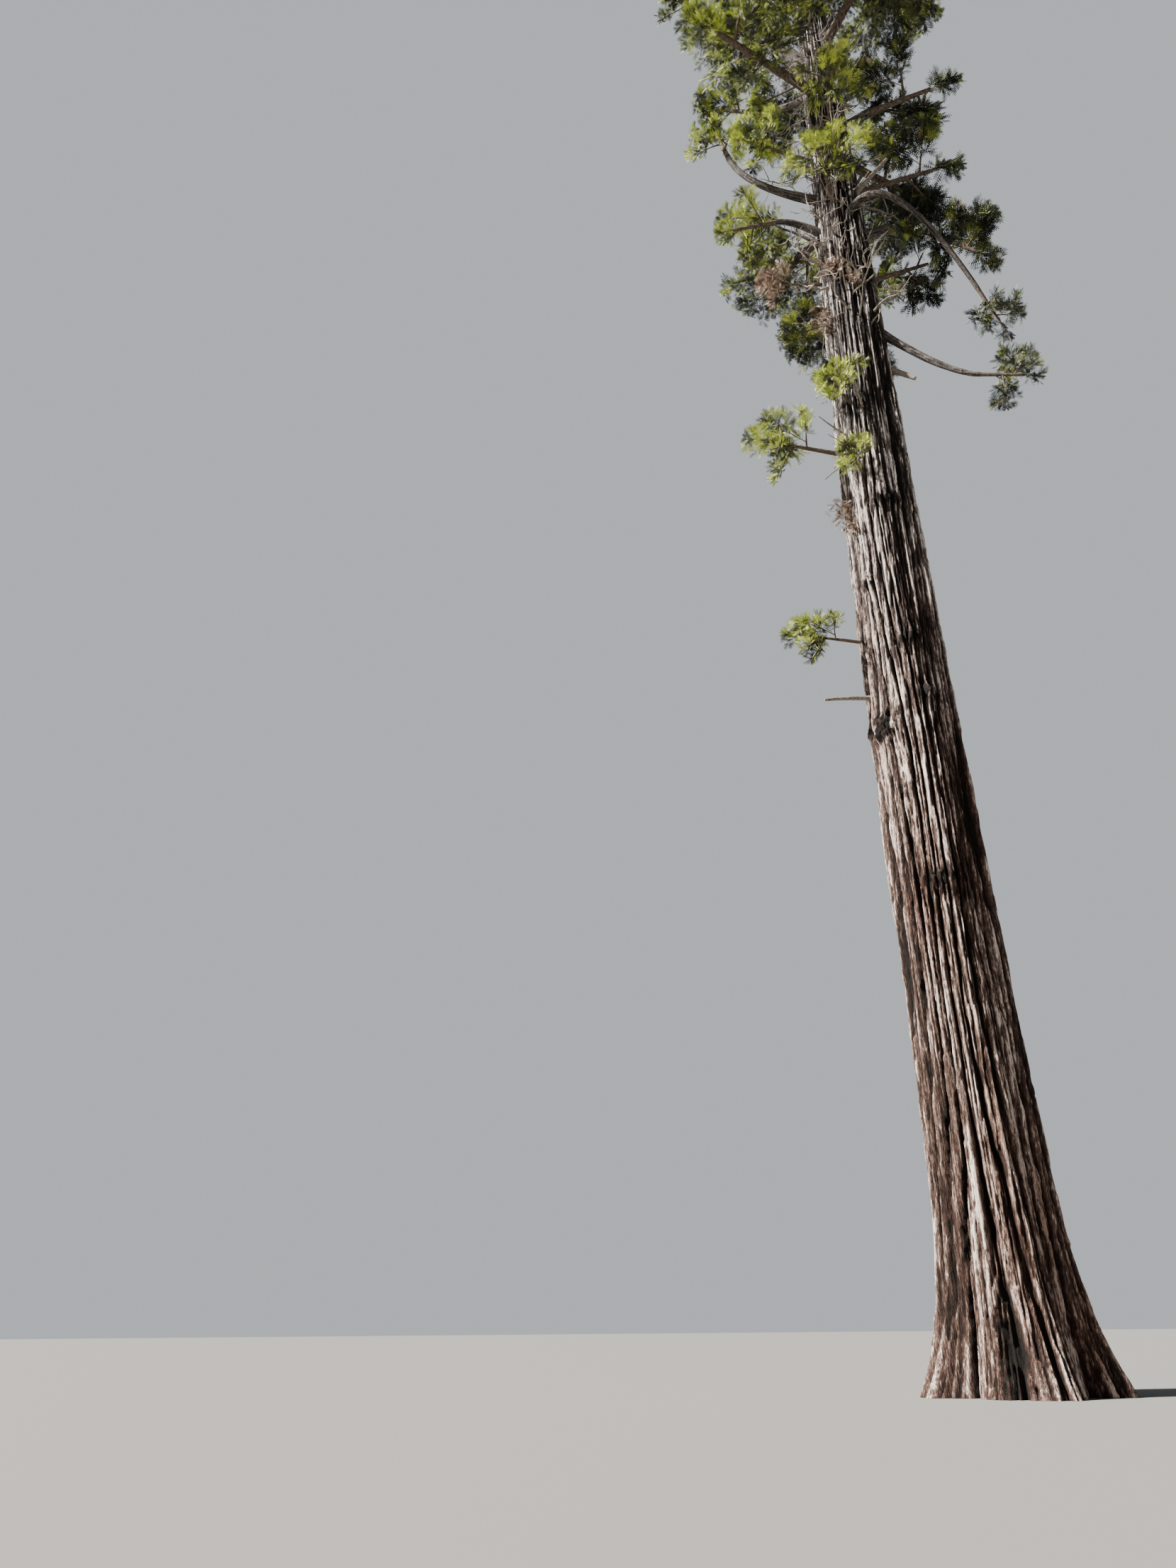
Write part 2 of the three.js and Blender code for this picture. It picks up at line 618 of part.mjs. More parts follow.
function foliageSolid(space, index, trunkCutter) {
  const { stem, twigs, sprays } = growMass(space, index);
  const stemRadius = STEM_RADIUS * space.size;
  let solid = taperedLimb(stem, stemRadius, STEM_TAPER * stemRadius, 3, STEM_STEPS);
  for (const twig of twigs) solid = solid.add(twigSolid(twig));
  for (const spray of sprays) solid = solid.add(spraySolid(spray));
  return wholeBody(solid.subtract(trunkCutter));
}

const BARK = new THREE.MeshStandardMaterial({ color: 0x7a6154, roughness: 0.95, metalness: 0 });
const LIMB_BARK = new THREE.MeshStandardMaterial({ color: 0x6b5a4e, roughness: 0.95, metalness: 0 });
const DEAD_WOOD = new THREE.MeshStandardMaterial({ color: 0x8f8478, roughness: 0.9, metalness: 0 });
const FOLIAGE = new THREE.MeshStandardMaterial({ color: 0x55692c, roughness: 0.75, metalness: 0 });
const WITHERED = new THREE.MeshStandardMaterial({ color: 0x8a5f45, roughness: 0.85, metalness: 0 });

const redwood = new THREE.Group();
function addPiece(name, solid, material) {
  const mesh = new THREE.Mesh(asGeometry(solid), material);
  mesh.name = name;
  redwood.add(mesh);
}

const trunkCutter = trunkSolid(CUTTER_SHARE * CLEARANCE);
addPiece("trunk", trunkSolid(0), BARK);
for (const limb of limbs) {
  const solid = taperedLimb(limb.curve, limb.radius, limb.tipRadius, LIMB_SIDES, LIMB_STEPS);
  addPiece(limb.name, solid.subtract(trunkCutter), limb.dead ? DEAD_WOOD : LIMB_BARK);
}
spaces.forEach((space, index) => {
  const material = space.name.endsWith("withered") ? WITHERED : FOLIAGE;
  addPiece(`${space.name}_foliage`, foliageSolid(space, index, trunkCutter), material);
});

export default redwood;
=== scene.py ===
# A coast redwood of the old forest, 84 m high, shown evenly reduced to 40 m.
# Sizes in this file are in metres of the living tree, unless a name says otherwise, and
# to_model turns them into metres of the model. +Z is up and +X is the viewer's right.
import math

import bpy
import numpy as np
from mathutils import Matrix, Vector


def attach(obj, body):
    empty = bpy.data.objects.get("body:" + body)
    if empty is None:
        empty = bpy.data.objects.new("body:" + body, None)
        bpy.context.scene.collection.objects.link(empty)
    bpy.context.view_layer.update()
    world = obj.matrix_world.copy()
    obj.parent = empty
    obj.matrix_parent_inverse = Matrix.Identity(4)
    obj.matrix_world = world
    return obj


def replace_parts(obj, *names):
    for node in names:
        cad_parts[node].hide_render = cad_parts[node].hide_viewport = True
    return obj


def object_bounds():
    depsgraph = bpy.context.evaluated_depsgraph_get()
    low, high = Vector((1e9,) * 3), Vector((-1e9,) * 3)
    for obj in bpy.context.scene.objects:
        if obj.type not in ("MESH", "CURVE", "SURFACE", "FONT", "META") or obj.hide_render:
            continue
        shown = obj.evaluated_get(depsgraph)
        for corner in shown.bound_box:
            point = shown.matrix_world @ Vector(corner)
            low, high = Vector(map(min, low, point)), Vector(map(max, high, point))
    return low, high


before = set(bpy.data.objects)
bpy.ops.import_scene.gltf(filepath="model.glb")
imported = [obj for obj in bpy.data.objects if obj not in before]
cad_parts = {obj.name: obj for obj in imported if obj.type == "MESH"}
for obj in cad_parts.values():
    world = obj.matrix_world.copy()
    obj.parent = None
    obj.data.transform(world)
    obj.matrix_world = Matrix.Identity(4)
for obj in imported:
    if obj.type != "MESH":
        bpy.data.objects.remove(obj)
cad_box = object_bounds()

TREE_HEIGHT = 84.0
MODEL_HEIGHT = 40.0
to_model = MODEL_HEIGHT / TREE_HEIGHT

# The view
# The tree is seen from eye height on the forest floor, from 35 m away, with a wide lens that
# is tilted up and turned to the left, so that the trunk leans in on the right of the picture.
VIEW_DISTANCE = 35.0
EYE_HEIGHT = 1.6
VIEW_PITCH = math.radians(25.743)
VIEW_HEADING = math.radians(18.467)
VIEW_ROLL = math.radians(-0.561)
FILM_LONG_SIDE_MM = 36.0
LENS_MM = 26.04
NEAREST_IN_VIEW = 0.05
FARTHEST_IN_VIEW = 1000.0

camera_data = bpy.data.cameras.new("view")
camera_data.sensor_fit = "AUTO"
camera_data.sensor_width = FILM_LONG_SIDE_MM
camera_data.lens = LENS_MM
camera_data.clip_start = NEAREST_IN_VIEW
camera_data.clip_end = FARTHEST_IN_VIEW


def add_object(name, data):
    added = bpy.data.objects.new(name, data)
    bpy.context.scene.collection.objects.link(added)
    return added


camera = add_object("view", camera_data)
camera.matrix_world = (
    Matrix.Translation(Vector((0.0, -VIEW_DISTANCE, EYE_HEIGHT)) * to_model)
    @ Matrix.Rotation(VIEW_HEADING, 4, "Z")
    @ Matrix.Rotation(math.pi / 2 + VIEW_PITCH, 4, "X")
    @ Matrix.Rotation(VIEW_ROLL, 4, "Z")
)
bpy.context.scene.camera = camera

# The trunk
# One straight stem of solid wood in a thick coat of soft, stringy bark. It flares at the foot,
# bows a little to the left and tapers to a leader. The bark is split by long meeting furrows.
TRUNK_TOP = 80.6
TRUNK_DIAMETER = 3.14
TAPER_POWER = 1.5
FLARE = 0.8
FLARE_HEIGHT = 1.9
BOW = 0.2
BOW_HEIGHT = 52.0
CREST_DRIFT = 0.3
CREST_SWERVE = -0.12
FLUTES = [(5, 0.034, 0.6), (8, 0.03, 2.1)]
FLUTE_TWIST = 0.012
FOOT_FLUTING = 2.2
FOOT_FLUTING_HEIGHT = 2.6


def trunk_middle(height):
    height = np.asarray(height, dtype=float)
    bow = -BOW * np.sin(np.pi * np.minimum(height, BOW_HEIGHT) / BOW_HEIGHT)
    above = np.maximum(0.0, height - BOW_HEIGHT) / (TREE_HEIGHT - BOW_HEIGHT)
    return np.stack([bow + CREST_DRIFT * above**2, CREST_SWERVE * above, height], axis=-1)


def trunk_radius(height, angle):
    taper = 1.0 - np.minimum(1.0, height / TREE_HEIGHT) ** TAPER_POWER
    mean = TRUNK_DIAMETER / 2 * taper + FLARE * np.exp(-height / FLARE_HEIGHT)
    deepening = 1.0 + FOOT_FLUTING * np.exp(-height / FOOT_FLUTING_HEIGHT)
    waves = 0.0
    for count, depth, start in FLUTES:
        waves = waves + depth * np.cos(count * (angle + FLUTE_TWIST * height) + start)
    return mean * (1.0 + deepening * waves)
def surface_at(height, turn):
    return trunk_radius(height, math.radians(turn))


# Passes smoothly from 0 to 1 within an edge about the middle of a share.
def eased(share, edge):
    share = np.clip((share - 0.5) / edge + 0.5, 0.0, 1.0)
    return share * share * (3 - 2 * share)


# A random field on the bark, of long cells that close round the stem. Each column of cells starts
# at its own height, and the edge is the share of a cell over which one passes into the next.
def grain_field(angle, height, cells_round, cell_length, seed, edge=1.0):
    chance = np.random.default_rng(seed)
    values = chance.random((int(TREE_HEIGHT / cell_length) + 5, cells_round))
    shifts = chance.random(cells_round)
    across = angle / (2 * np.pi) * cells_round
    column = np.floor(across).astype(int)
    beside = eased(across - column, edge)
    blend = 0.0
    for side, weight in ((column % cells_round, 1 - beside), ((column + 1) % cells_round, beside)):
        along = height / cell_length + 1.0 + shifts[side]
        row = np.floor(along).astype(int)
        onward = eased(along - row, edge)
        blend = blend + weight * (values[row, side] * (1 - onward) + values[row + 1, side] * onward)
    return blend


# Ribs of bark run up side by side, with a furrow between each two. Slow waves make them wander:
# waves round the trunk, length up it, start, and swing in ribs. Finer strands run along them.
RIB_WANDERS = [(2, 41.0, 0.4, 0.5), (3, -23.0, 2.2, 0.35), (5, 14.0, 5.1, 0.16)]
RIB_ROUNDING = 0.09
RIBS = {"count": 24, "depth": 0.19, "furrow": 0.44, "stray": 0.45, "ragged": 0.15, "length": 7.5}
STRANDS = {"count": 66, "depth": 0.07, "furrow": 0.5, "stray": 1.0, "ragged": 0.42, "length": 4.5}
RIB_SEED, STRAND_SEED = 10, 20
STRAND_MEAN = 0.8
# The fields that make a furrow stray, fray, splinter, widen and close: cells to a rib, cells to
# a rib's length, and edge. Then how far it splinters, how wide it is, and how far it closes.
FURROW_FIELDS = [(1.0, 1.0, 1.0), (3.0, 6.0, 0.4), (6.0, 16.0, 0.5), (0.5, 2.0, 1.0), (1.0, 1.5, 1.0)]
SPLINTERS = 0.6
LEAST_WIDTH, WIDENING = 0.4, 1.2
CLOSING, LEFT_OPEN, MOST_CLOSED = 1.8, 0.9, 0.85
# Flakes and shreds lie on the strands, in paler and darker plates.
FLAKES = {"cells": 96, "length": 1.5, "edge": 0.3, "seed": 30, "depth": 0.06, "paler": 0.32}
SHREDS = {"cells": 190, "length": 0.6, "edge": 0.4, "seed": 31, "depth": 0.045, "paler": 0.2}
PLATES = {"cells": 18, "length": 5.0, "edge": 1.0, "seed": 32, "paler": 0.24}
OPEN_MEAN = 0.35
STRAND_PALER = 0.4
# Higher up the furrows grow shallow, and the bark is broken into darker flakes.
HIGHER_FROM, HIGHER_TO = 12.0, 32.0
HIGHER_FILL = 0.4
HIGHER_FLAKING = 1.1
# Painted light and shade by height: the bark is painted paler where the sun falls on it and darker where
# boughs above shade it. Heights, and how much paler it is painted there.
PAINTED_LIGHT_HEIGHTS = (17.0, 21.0, 28.0, 33.0)
PAINTED_LIGHT_AND_SHADE = (-0.05, 0.05, 0.06, -0.12)


# How far the bark is out of a furrow, 0 to 1, and how far aside of its crest. Crests stand where
# the phase is whole. Furrows stray, narrow and close, and their edges are ragged.
def out_of_furrow(phase, angle, height, layer, seed):
    stray, fray, splinter, width, closing = (
        grain_field(angle, height, int(layer["count"] * finer), layer["length"] / shorter, seed + i, edge)
        for i, (finer, shorter, edge) in enumerate(FURROW_FIELDS)
    )
    fraying = fray - 0.5 + SPLINTERS * (splinter - 0.5)
    phase = phase + layer["stray"] * (stray - 0.5) + layer["ragged"] * fraying
    aside = 2 * np.abs(phase - np.round(phase))
    gap = layer["furrow"] * (LEAST_WIDTH + WIDENING * width)
    rise = np.clip((1 - aside) / gap, 0.0, 1.0)
    closed = np.clip(CLOSING * closing - LEFT_OPEN, 0.0, MOST_CLOSED)
    return np.maximum(rise * rise * (3 - 2 * rise), closed), aside


# A layer of cells as a field that swings about zero.
def cells_of(layer, angle, height):
    cells, length, seed, edge = (layer[key] for key in ("cells", "length", "seed", "edge"))
    return grain_field(angle, height, cells, length, seed, edge) - 0.5


# Returns how far the bark stands off the wood's mean surface, and how open to the light it is. The colour
# ramp paints it low in the furrows and cracks, partly their own red-brown and partly painted shade.
def bark_relief(angle, height):
    ribs = RIBS["count"] * angle / (2 * np.pi)
    for waves, length, start, swing in RIB_WANDERS:
        ribs = ribs + swing * np.sin(waves * angle + 2 * np.pi * height / length + start)
    rib, aside = out_of_furrow(ribs, angle, height, RIBS, RIB_SEED)
    strands = STRANDS["count"] * angle / (2 * np.pi)
    strand, _ = out_of_furrow(strands, angle, height, STRANDS, STRAND_SEED)
    higher = np.clip((height - HIGHER_FROM) / (HIGHER_TO - HIGHER_FROM), 0.0, 1.0)
    rib = 1.0 - (1.0 - rib) * (1.0 - HIGHER_FILL * higher)
    flaking = 1.0 + HIGHER_FLAKING * higher
    flake, shred = cells_of(FLAKES, angle, height), cells_of(SHREDS, angle, height)
    stand = (
        RIBS["depth"] * (rib - 1.0)
        - RIB_ROUNDING * aside**2
        + STRANDS["depth"] * (strand - STRAND_MEAN)
        + flaking * FLAKES["depth"] * flake
        + flaking * SHREDS["depth"] * shred
    )
    broken = FLAKES["paler"] * flake + SHREDS["paler"] * shred
    plate = cells_of(PLATES, angle, height)
    openness = OPEN_MEAN + STRAND_PALER * strand + flaking * broken + PLATES["paler"] * plate
    # The openness also takes the painted light and shade by height.
    return stand, np.clip(rib * (openness + np.interp(height, PAINTED_LIGHT_HEIGHTS, PAINTED_LIGHT_AND_SHADE)), 0.0, 1.0)


# Burls and healed branch scars: height, direction, half width, half height, how far out.
BURLS = [
    (28.2, 282.0, 0.55, 0.38, 0.20),
    (25.0, 233.0, 0.35, 0.40, 0.14),
    (22.3, 280.0, 0.50, 0.45, 0.18),
    (20.2, 292.0, 0.40, 0.28, 0.15),
    (19.3, 228.0, 0.60, 0.55, 0.20),
    (16.8, 258.0, 0.30, 0.40, 0.12),
    (13.6, 274.0, 0.50, 0.50, 0.17),
    (33.2, 264.0, 0.40, 0.40, 0.14),
    (36.8, 282.0, 0.25, 0.30, 0.14),
    (39.4, 250.0, 0.26, 0.40, 0.13),
    (48.5, 275.0, 0.20, 0.35, 0.12),
    (26.5, 40.0, 0.45, 0.45, 0.16),
    (21.0, 85.0, 0.40, 0.35, 0.15),
    (16.0, 130.0, 0.50, 0.50, 0.17),
    (33.0, 165.0, 0.35, 0.40, 0.14),
]


def burl_rise(angle, height):
    rise = np.zeros(np.broadcast(angle, height).shape)
    for burl_height, turn, half_width, half_height, stand in BURLS:
        radius = surface_at(burl_height, turn)
        aside = np.mod(angle - math.radians(turn) + np.pi, 2 * np.pi) - np.pi
        reach = (aside * radius / half_width) ** 2 + ((height - burl_height) / half_height) ** 2
        rise = rise + stand * np.exp(-reach)
    return rise


def angles_round(sides):
    return np.linspace(0.0, 2 * np.pi, sides, endpoint=False)


# Makes one mesh of tubes. Each array of tubes is (count, rings, sides, 3), closed by flat ends.
def tubes_mesh(name, groups):
    vertices, faces, ends = [], [], []
    start = 0
    for tubes in groups:
        count, rings, sides, _ = tubes.shape
        vertices.append(tubes.reshape(-1, 3) * to_model)
        index = start + np.arange(count * rings * sides).reshape(count, rings, sides)
        onward = np.roll(index, -1, axis=2)
        quads = np.stack([index[:, :-1], onward[:, :-1], onward[:, 1:], index[:, 1:]], axis=-1)
        faces.extend(quads.reshape(-1, 4).tolist())
        ends.extend(index[:, 0, ::-1].tolist())
        ends.extend(index[:, -1].tolist())
        start += count * rings * sides
    mesh = bpy.data.meshes.new(name)
    mesh.from_pydata(np.concatenate(vertices), [], faces + ends)
    for polygon in mesh.polygons[: len(faces)]:
        polygon.use_smooth = True
    rims = {tuple(sorted(pair)) for end in ends for pair in zip(end, end[1:] + end[:1])}
    is_rim = [tuple(sorted(edge.vertices)) in rims for edge in mesh.edges]
    mesh.attributes.new("sharp_edge", "BOOLEAN", "EDGE").data.foreach_set("value", is_rim)
    mesh.update()
    return mesh


def add_piece(name, mesh, material):
    mesh.materials.append(material)
    piece = add_object(name, mesh)
    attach(piece, "root")
    return piece


def mark_vertices(mesh, name, values):
    mesh.attributes.new(name, "FLOAT", "POINT").data.foreach_set("value", np.ravel(values))


def new_material(name):
    material = bpy.data.materials.new(name)
    material.use_nodes = True
    tree = material.node_tree
    return material, tree, next(node for node in tree.nodes if node.type == "BSDF_PRINCIPLED")


# Fills a node's inputs, by name or number, with values or with what other nodes put out.
def fill(node, inputs):
    for key, value in inputs.items():
        if isinstance(value, bpy.types.NodeSocket):
            node.id_data.links.new(value, node.inputs[key])
        else:
            node.inputs[key].default_value = value


# Adds a node, and returns the first of its outputs or the one that is asked for.
def add_node(tree, kind, inputs, output=0, **options):
    node = tree.nodes.new(kind)
    for option, value in options.items():
        setattr(node, option, value)
    fill(node, inputs)
    return node.outputs[output]


def add_math(tree, operation, *values):
    return add_node(tree, "ShaderNodeMath", dict(enumerate(values)), operation=operation)


def ramp_of(tree, level, stops):
    ramp = add_node(tree, "ShaderNodeValToRGB", {"Fac": level})
    elements = ramp.node.color_ramp.elements
    while len(elements) < len(stops):
        elements.new(0.5)
    for element, (position, colour) in zip(elements, stops):
        element.position = position
        element.color = (*colour, 1.0)
    return ramp


def stretched_noise(tree, place, scale, detail, roughness):
    stretched = add_node(tree, "ShaderNodeMapping", {"Vector": place, "Scale": scale})
    inputs = {"Vector": stretched, "Scale": 1.0, "Detail": detail, "Roughness": roughness}
    return add_node(tree, "ShaderNodeTexNoise", inputs)


# A level and a noise about it, which sways it up and down by a weight.
def swayed(tree, level, noise, weight):
    return add_math(tree, "ADD", level, add_math(tree, "MULTIPLY_ADD", noise, weight, -weight / 2))


def bumped(tree, height, strength, distance):
    inputs = {"Height": height, "Strength": strength, "Distance": distance}
    return add_node(tree, "ShaderNodeBump", inputs)


# Bark: dark red-brown in the furrows, near black with painted shade at their bottoms, weathered grey-brown
# on the plates, with paler streaks.
# Streaks, fibres and patches are noises: scale across and along the stem, detail and roughness.
# The darkest colour is painted shade in the depths of the furrows and cracks.
FURROW_PAINTED_SHADE = (0.006, 0.004, 0.003)
BARK_RED = (0.026, 0.012, 0.008)
BARK_BROWN = (0.075, 0.045, 0.035)
BARK_GREY = (0.185, 0.128, 0.110)
BARK_PALE = (0.73, 0.61, 0.55)
STREAKS = ((27.0, 27.0, 3.2), 3.0, 0.6)
STREAK_WEIGHT = 0.75
FIBRES = ((62.0, 62.0, 12.0), 3.0, 0.65)
FIBRE_WEIGHT = 0.95
PATCHES = ((1.5, 1.5, 0.3), 3.0, 0.55)
PATCH_EDGES = [(0.46, (0.0, 0.0, 0.0)), (0.66, (1.0, 1.0, 1.0))]
BARK_ROUGHNESS = 0.92
BARK_GLOSS = 0.25
BARK_BUMP = 0.9
FIBRE_BUMP = 0.6
# It loses its red with height: from and to height, and the share of colour that stays.
GREYING_FROM, GREYING_TO = 14.0, 34.0
GREYING_KEEPS = 0.42
# The sockets of a Mix node that mixes colours: its factor, both colours and its result.
MIX_FACTOR, MIX_FIRST, MIX_SECOND, MIX_RESULT = 0, 6, 7, 2


def bark_material(name, stops, patch_colour, patch_amount, bump_distance):
    material, tree, shader = new_material(name)
    place = add_node(tree, "ShaderNodeTexCoord", {}, "Object")
    openness = add_node(tree, "ShaderNodeAttribute", {}, "Fac", attribute_name="openness")
    streaks = stretched_noise(tree, place, *STREAKS)
    fibres = stretched_noise(tree, place, *FIBRES)
    level = swayed(tree, swayed(tree, openness, streaks, STREAK_WEIGHT), fibres, FIBRE_WEIGHT)
    patches = ramp_of(tree, stretched_noise(tree, place, *PATCHES), PATCH_EDGES)
    mix_inputs = {
        MIX_FACTOR: add_math(tree, "MULTIPLY", patches, patch_amount),
        MIX_FIRST: ramp_of(tree, level, stops),
        MIX_SECOND: (*patch_colour, 1.0),
    }
    mixing = {"data_type": "RGBA", "blend_type": "MULTIPLY"}
    colour = add_node(tree, "ShaderNodeMix", mix_inputs, MIX_RESULT, **mixing)
    greying_inputs = {
        "Value": add_node(tree, "ShaderNodeSeparateXYZ", {0: place}, "Z"),
        "From Min": GREYING_FROM * to_model,
        "From Max": GREYING_TO * to_model,
        "To Min": 1.0,
        "To Max": GREYING_KEEPS,
    }
    washing = {"Saturation": add_node(tree, "ShaderNodeMapRange", greying_inputs), "Color": colour}
    relief = swayed(tree, streaks, fibres, FIBRE_BUMP)
    shader_inputs = {
        "Base Color": add_node(tree, "ShaderNodeHueSaturation", washing),
        "Roughness": BARK_ROUGHNESS,
        "Specular IOR Level": BARK_GLOSS,
        "Normal": bumped(tree, relief, BARK_BUMP, bump_distance),
    }
    fill(shader, shader_inputs)
    return material


TRUNK_LOOK = {
    "stops": [(0.22, FURROW_PAINTED_SHADE), (0.4, BARK_RED), (0.57, BARK_BROWN), (0.73, BARK_GREY), (0.92, BARK_PALE)],
    "patch_colour": (0.44, 0.31, 0.26),
    "patch_amount": 0.85,
    "bump_distance": 0.04,
}
trunk_bark = bark_material("trunk_bark", **TRUNK_LOOK)

# Four lengths that meet ring to ring: from height, to height, rings, and sides round the trunk.
TRUNK_LENGTHS = {
    "trunk_foot_bark": (0.0, 14.0, 250, 384),
    "trunk_lower_bark": (14.0, 30.0, 250, 384),
    "trunk_middle_bark": (30.0, 52.0, 250, 384),
    "trunk_upper_bark": (52.0, TRUNK_TOP, 150, 256),
}
RELIEF_AT_TIP = 0.3
# A burl's crust is broken into crumbs, coarse and fine: how far they stand, and how dark it is.
CRUMBS = {"cells": 110, "length": 0.3, "edge": 0.5, "seed": 60}
FINE_CRUMBS = {"cells": 190, "length": 0.17, "edge": 0.6, "seed": 61}
FINE_CRUMB_SHARE = 0.6
CRUMB_STAND = 1.6
BURL_DARKER, CRUMB_DARKER = 1.6, 5.0


def trunk_length(name, from_height, to_height, rings, sides):
    height = np.linspace(from_height, to_height, rings)[:, None]
    angle = angles_round(sides)[None, :]
    mean = trunk_radius(height, angle)
    stand, openness = bark_relief(angle, height)
    share = np.clip(mean / (TRUNK_DIAMETER / 2), RELIEF_AT_TIP, 1.0)
    burl = burl_rise(angle, height)
    crumbs = cells_of(CRUMBS, angle, height) + FINE_CRUMB_SHARE * cells_of(FINE_CRUMBS, angle, height)
    reach = mean + share * (stand + burl * (1.0 + CRUMB_STAND * crumbs))
    openness = np.clip(openness - burl * (BURL_DARKER + CRUMB_DARKER * crumbs), 0.0, 1.0)
    out = np.stack([np.cos(angle), np.sin(angle), np.zeros_like(angle)], axis=-1)
    surface = trunk_middle(height) + out * reach[..., None]
    mesh = tubes_mesh(name, [surface[None]])
    mark_vertices(mesh, "openness", openness)
    return add_piece(name, mesh, trunk_bark)

for name, row in TRUNK_LENGTHS.items():
    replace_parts(trunk_length(name, *row), "trunk")

# Where the foliage grows
# Each mass of foliage fills a space, an ellipsoid at a height, in a compass direction and at a distance
# from the trunk's middle. Half sizes run outwards, across and upwards. These are the masses that show,
# listed one by one.
SHOWN_SPACES = {
    "front_shelf": (44.6, 262, 2.6, (1.25, 2.35, 1.25)),
    "front_crest": (49.3, 277, 2.5, (1.4, 2.1, 1.65)),
    "left_outer": (50.5, 189, 4.8, (1.45, 1.4, 2.0)),
    "left_inner": (48.3, 208, 3.15, (1.3, 1.4, 1.6)),
    "left_hanging": (43.9, 198, 3.85, (1.35, 1.35, 1.55)),
    "left_small": (54.4, 166, 2.75, (0.85, 0.85, 0.85)),
    "left_shaded": (39.3, 158, 2.15, (0.9, 0.95, 1.4)),
    "left_withered": (40.9, 190, 2.9, (0.8, 0.75, 0.95)),
    "right_inner": (41.2, 18, 2.6, (1.5, 1.55, 2.1)),
    "right_outer": (41.5, 6, 4.5, (1.6, 1.65, 2.25)),
    "right_hanging": (36.9, 358, 5.1, (1.1, 1.1, 1.4)),
    "right_low": (33.1, 353, 5.1, (1.25, 1.15, 1.0)),
    "low_crossing": (33.4, 242, 2.1, (0.8, 2.0, 0.85)),
    "low_left": (31.8, 199, 3.1, (1.6, 1.25, 1.5)),
    "low_front": (29.9, 249, 1.95, (0.6, 0.85, 0.95)),
    "low_lone": (23.2, 198, 2.75, (1.25, 0.95, 0.8)),
    "right_middle": (46.6, 14, 3.2, (2.1, 1.95, 2.3)),
    "right_upper": (52.2, 18, 3.7, (2.4, 2.2, 2.7)),
    "left_high": (63.2, 178, 6.0, (1.6, 1.6, 1.5)),
    "left_behind": (56.3, 158, 4.9, (1.7, 1.7, 1.6)),
    "second_top": (68.3, 188, 3.0, (1.9, 1.9, 2.1)),
    "second_side": (65.2, 212, 4.4, (1.7, 1.7, 1.5)),
}
UP = np.array([0.0, 0.0, 1.0])
STEEP = 0.9


def place(height, turn, distance):
    angle = math.radians(turn)
    return trunk_middle(height) + distance * np.array([math.cos(angle), math.sin(angle), 0.0])


def space_of(name, height, turn, distance, half):
    angle = math.radians(turn)
    out = np.array([math.cos(angle), math.sin(angle), 0.0])
    return {
        "name": name,
        "height": height,
        "turn": turn,
        "half": np.array(half),
        "centre": place(height, turn, distance),
        "axes": np.array([out, [-out[1], out[0], 0.0], UP]),
        "size": float(np.cbrt(np.prod(half))),
    }


shown_spaces = [space_of(name, *row) for name, row in SHOWN_SPACES.items()]


def unit(vector):
    return vector / np.linalg.norm(vector)


# How far out in its space a point lies: 0 in the middle, 1 on the skin.
def depth_in(space, point):
    return float(np.linalg.norm(space["axes"] @ (point - space["centre"]) / space["half"]))


# The point towards a goal that lies at a share of the way from a space's middle to its skin.
def towards_skin(space, goal, share):
    way = unit(goal - space["centre"])
    return space["centre"] + way * share / depth_in(space, space["centre"] + way)


# A direction square to an axis, turned about it by an angle.
def sideways(axis, angle):
    upwards = np.array([1.0, 0.0, 0.0]) if abs(axis[2]) > STEEP else UP
    first = unit(np.cross(axis, upwards))
    second = unit(np.cross(first, axis))
    return first * math.cos(angle) + second * math.sin(angle)


# A smooth curve from a start to an end that is drawn towards a bend between them.
class Bow:
    def __init__(self, start, bend, end):
        self.start, self.bend, self.end = start, bend, end

    def point(self, share):
        share = np.asarray(share, dtype=float)[..., None]
        rest = 1.0 - share
        return rest**2 * self.start + 2 * rest * share * self.bend + share**2 * self.end

    def heading(self, share):
        way = (1 - share) * (self.bend - self.start) + share * (self.end - self.bend)
        return unit(way)


# Boughs
# Tapering limbs of the trunk's own wood under thin flaking bark, grown out of the stem. Those
# at the right droop under their tufts, and those at the left swing out and up to the light.
# A row is the foot's height, turn and radius, and the bend's height, turn and distance.
BOUGHS = {
    "left_outer": (45.3, 203, 0.18, (45.8, 202, 4.0)),
    "left_hanging": (42.9, 203, 0.18, (44.2, 202, 2.0)),
    "right_outer": (43.0, 22, 0.17, (44.0, 14, 2.4)),
    "right_hanging": (43.2, 268, 0.17, (45.2, 303, 3.3)),
    "right_low": (38.2, 2, 0.16, (34.1, 352, 2.9)),
    "right_upper": (50.0, 25, 0.17, (51.2, 22, 1.6)),
    "left_high": (57.6, 165, 0.2, (59.4, 168, 2.7)),
    "left_behind": (53.0, 142, 0.19, (54.2, 148, 2.6)),
}
FOOT_SHARE = 0.3
BOUGH_ENTRY = 0.8
BOUGH_TAPER = 0.5
STEM_RADIUS = 0.075


def foot_of(height, turn):
    return place(height, turn, FOOT_SHARE * surface_at(height, turn))


def bough_of(space, height, turn, radius, bend):
    knee = place(*bend)
    curve = Bow(foot_of(height, turn), knee, towards_skin(space, knee, BOUGH_ENTRY))
    tip_radius = max(STEM_RADIUS * space["size"], BOUGH_TAPER * radius)
    return {"curve": curve, "radius": radius, "tip_radius": tip_radius}


boughs = {
    space["name"]: bough_of(space, *BOUGHS[space["name"]])
    for space in shown_spaces
    if space["name"] in BOUGHS
}


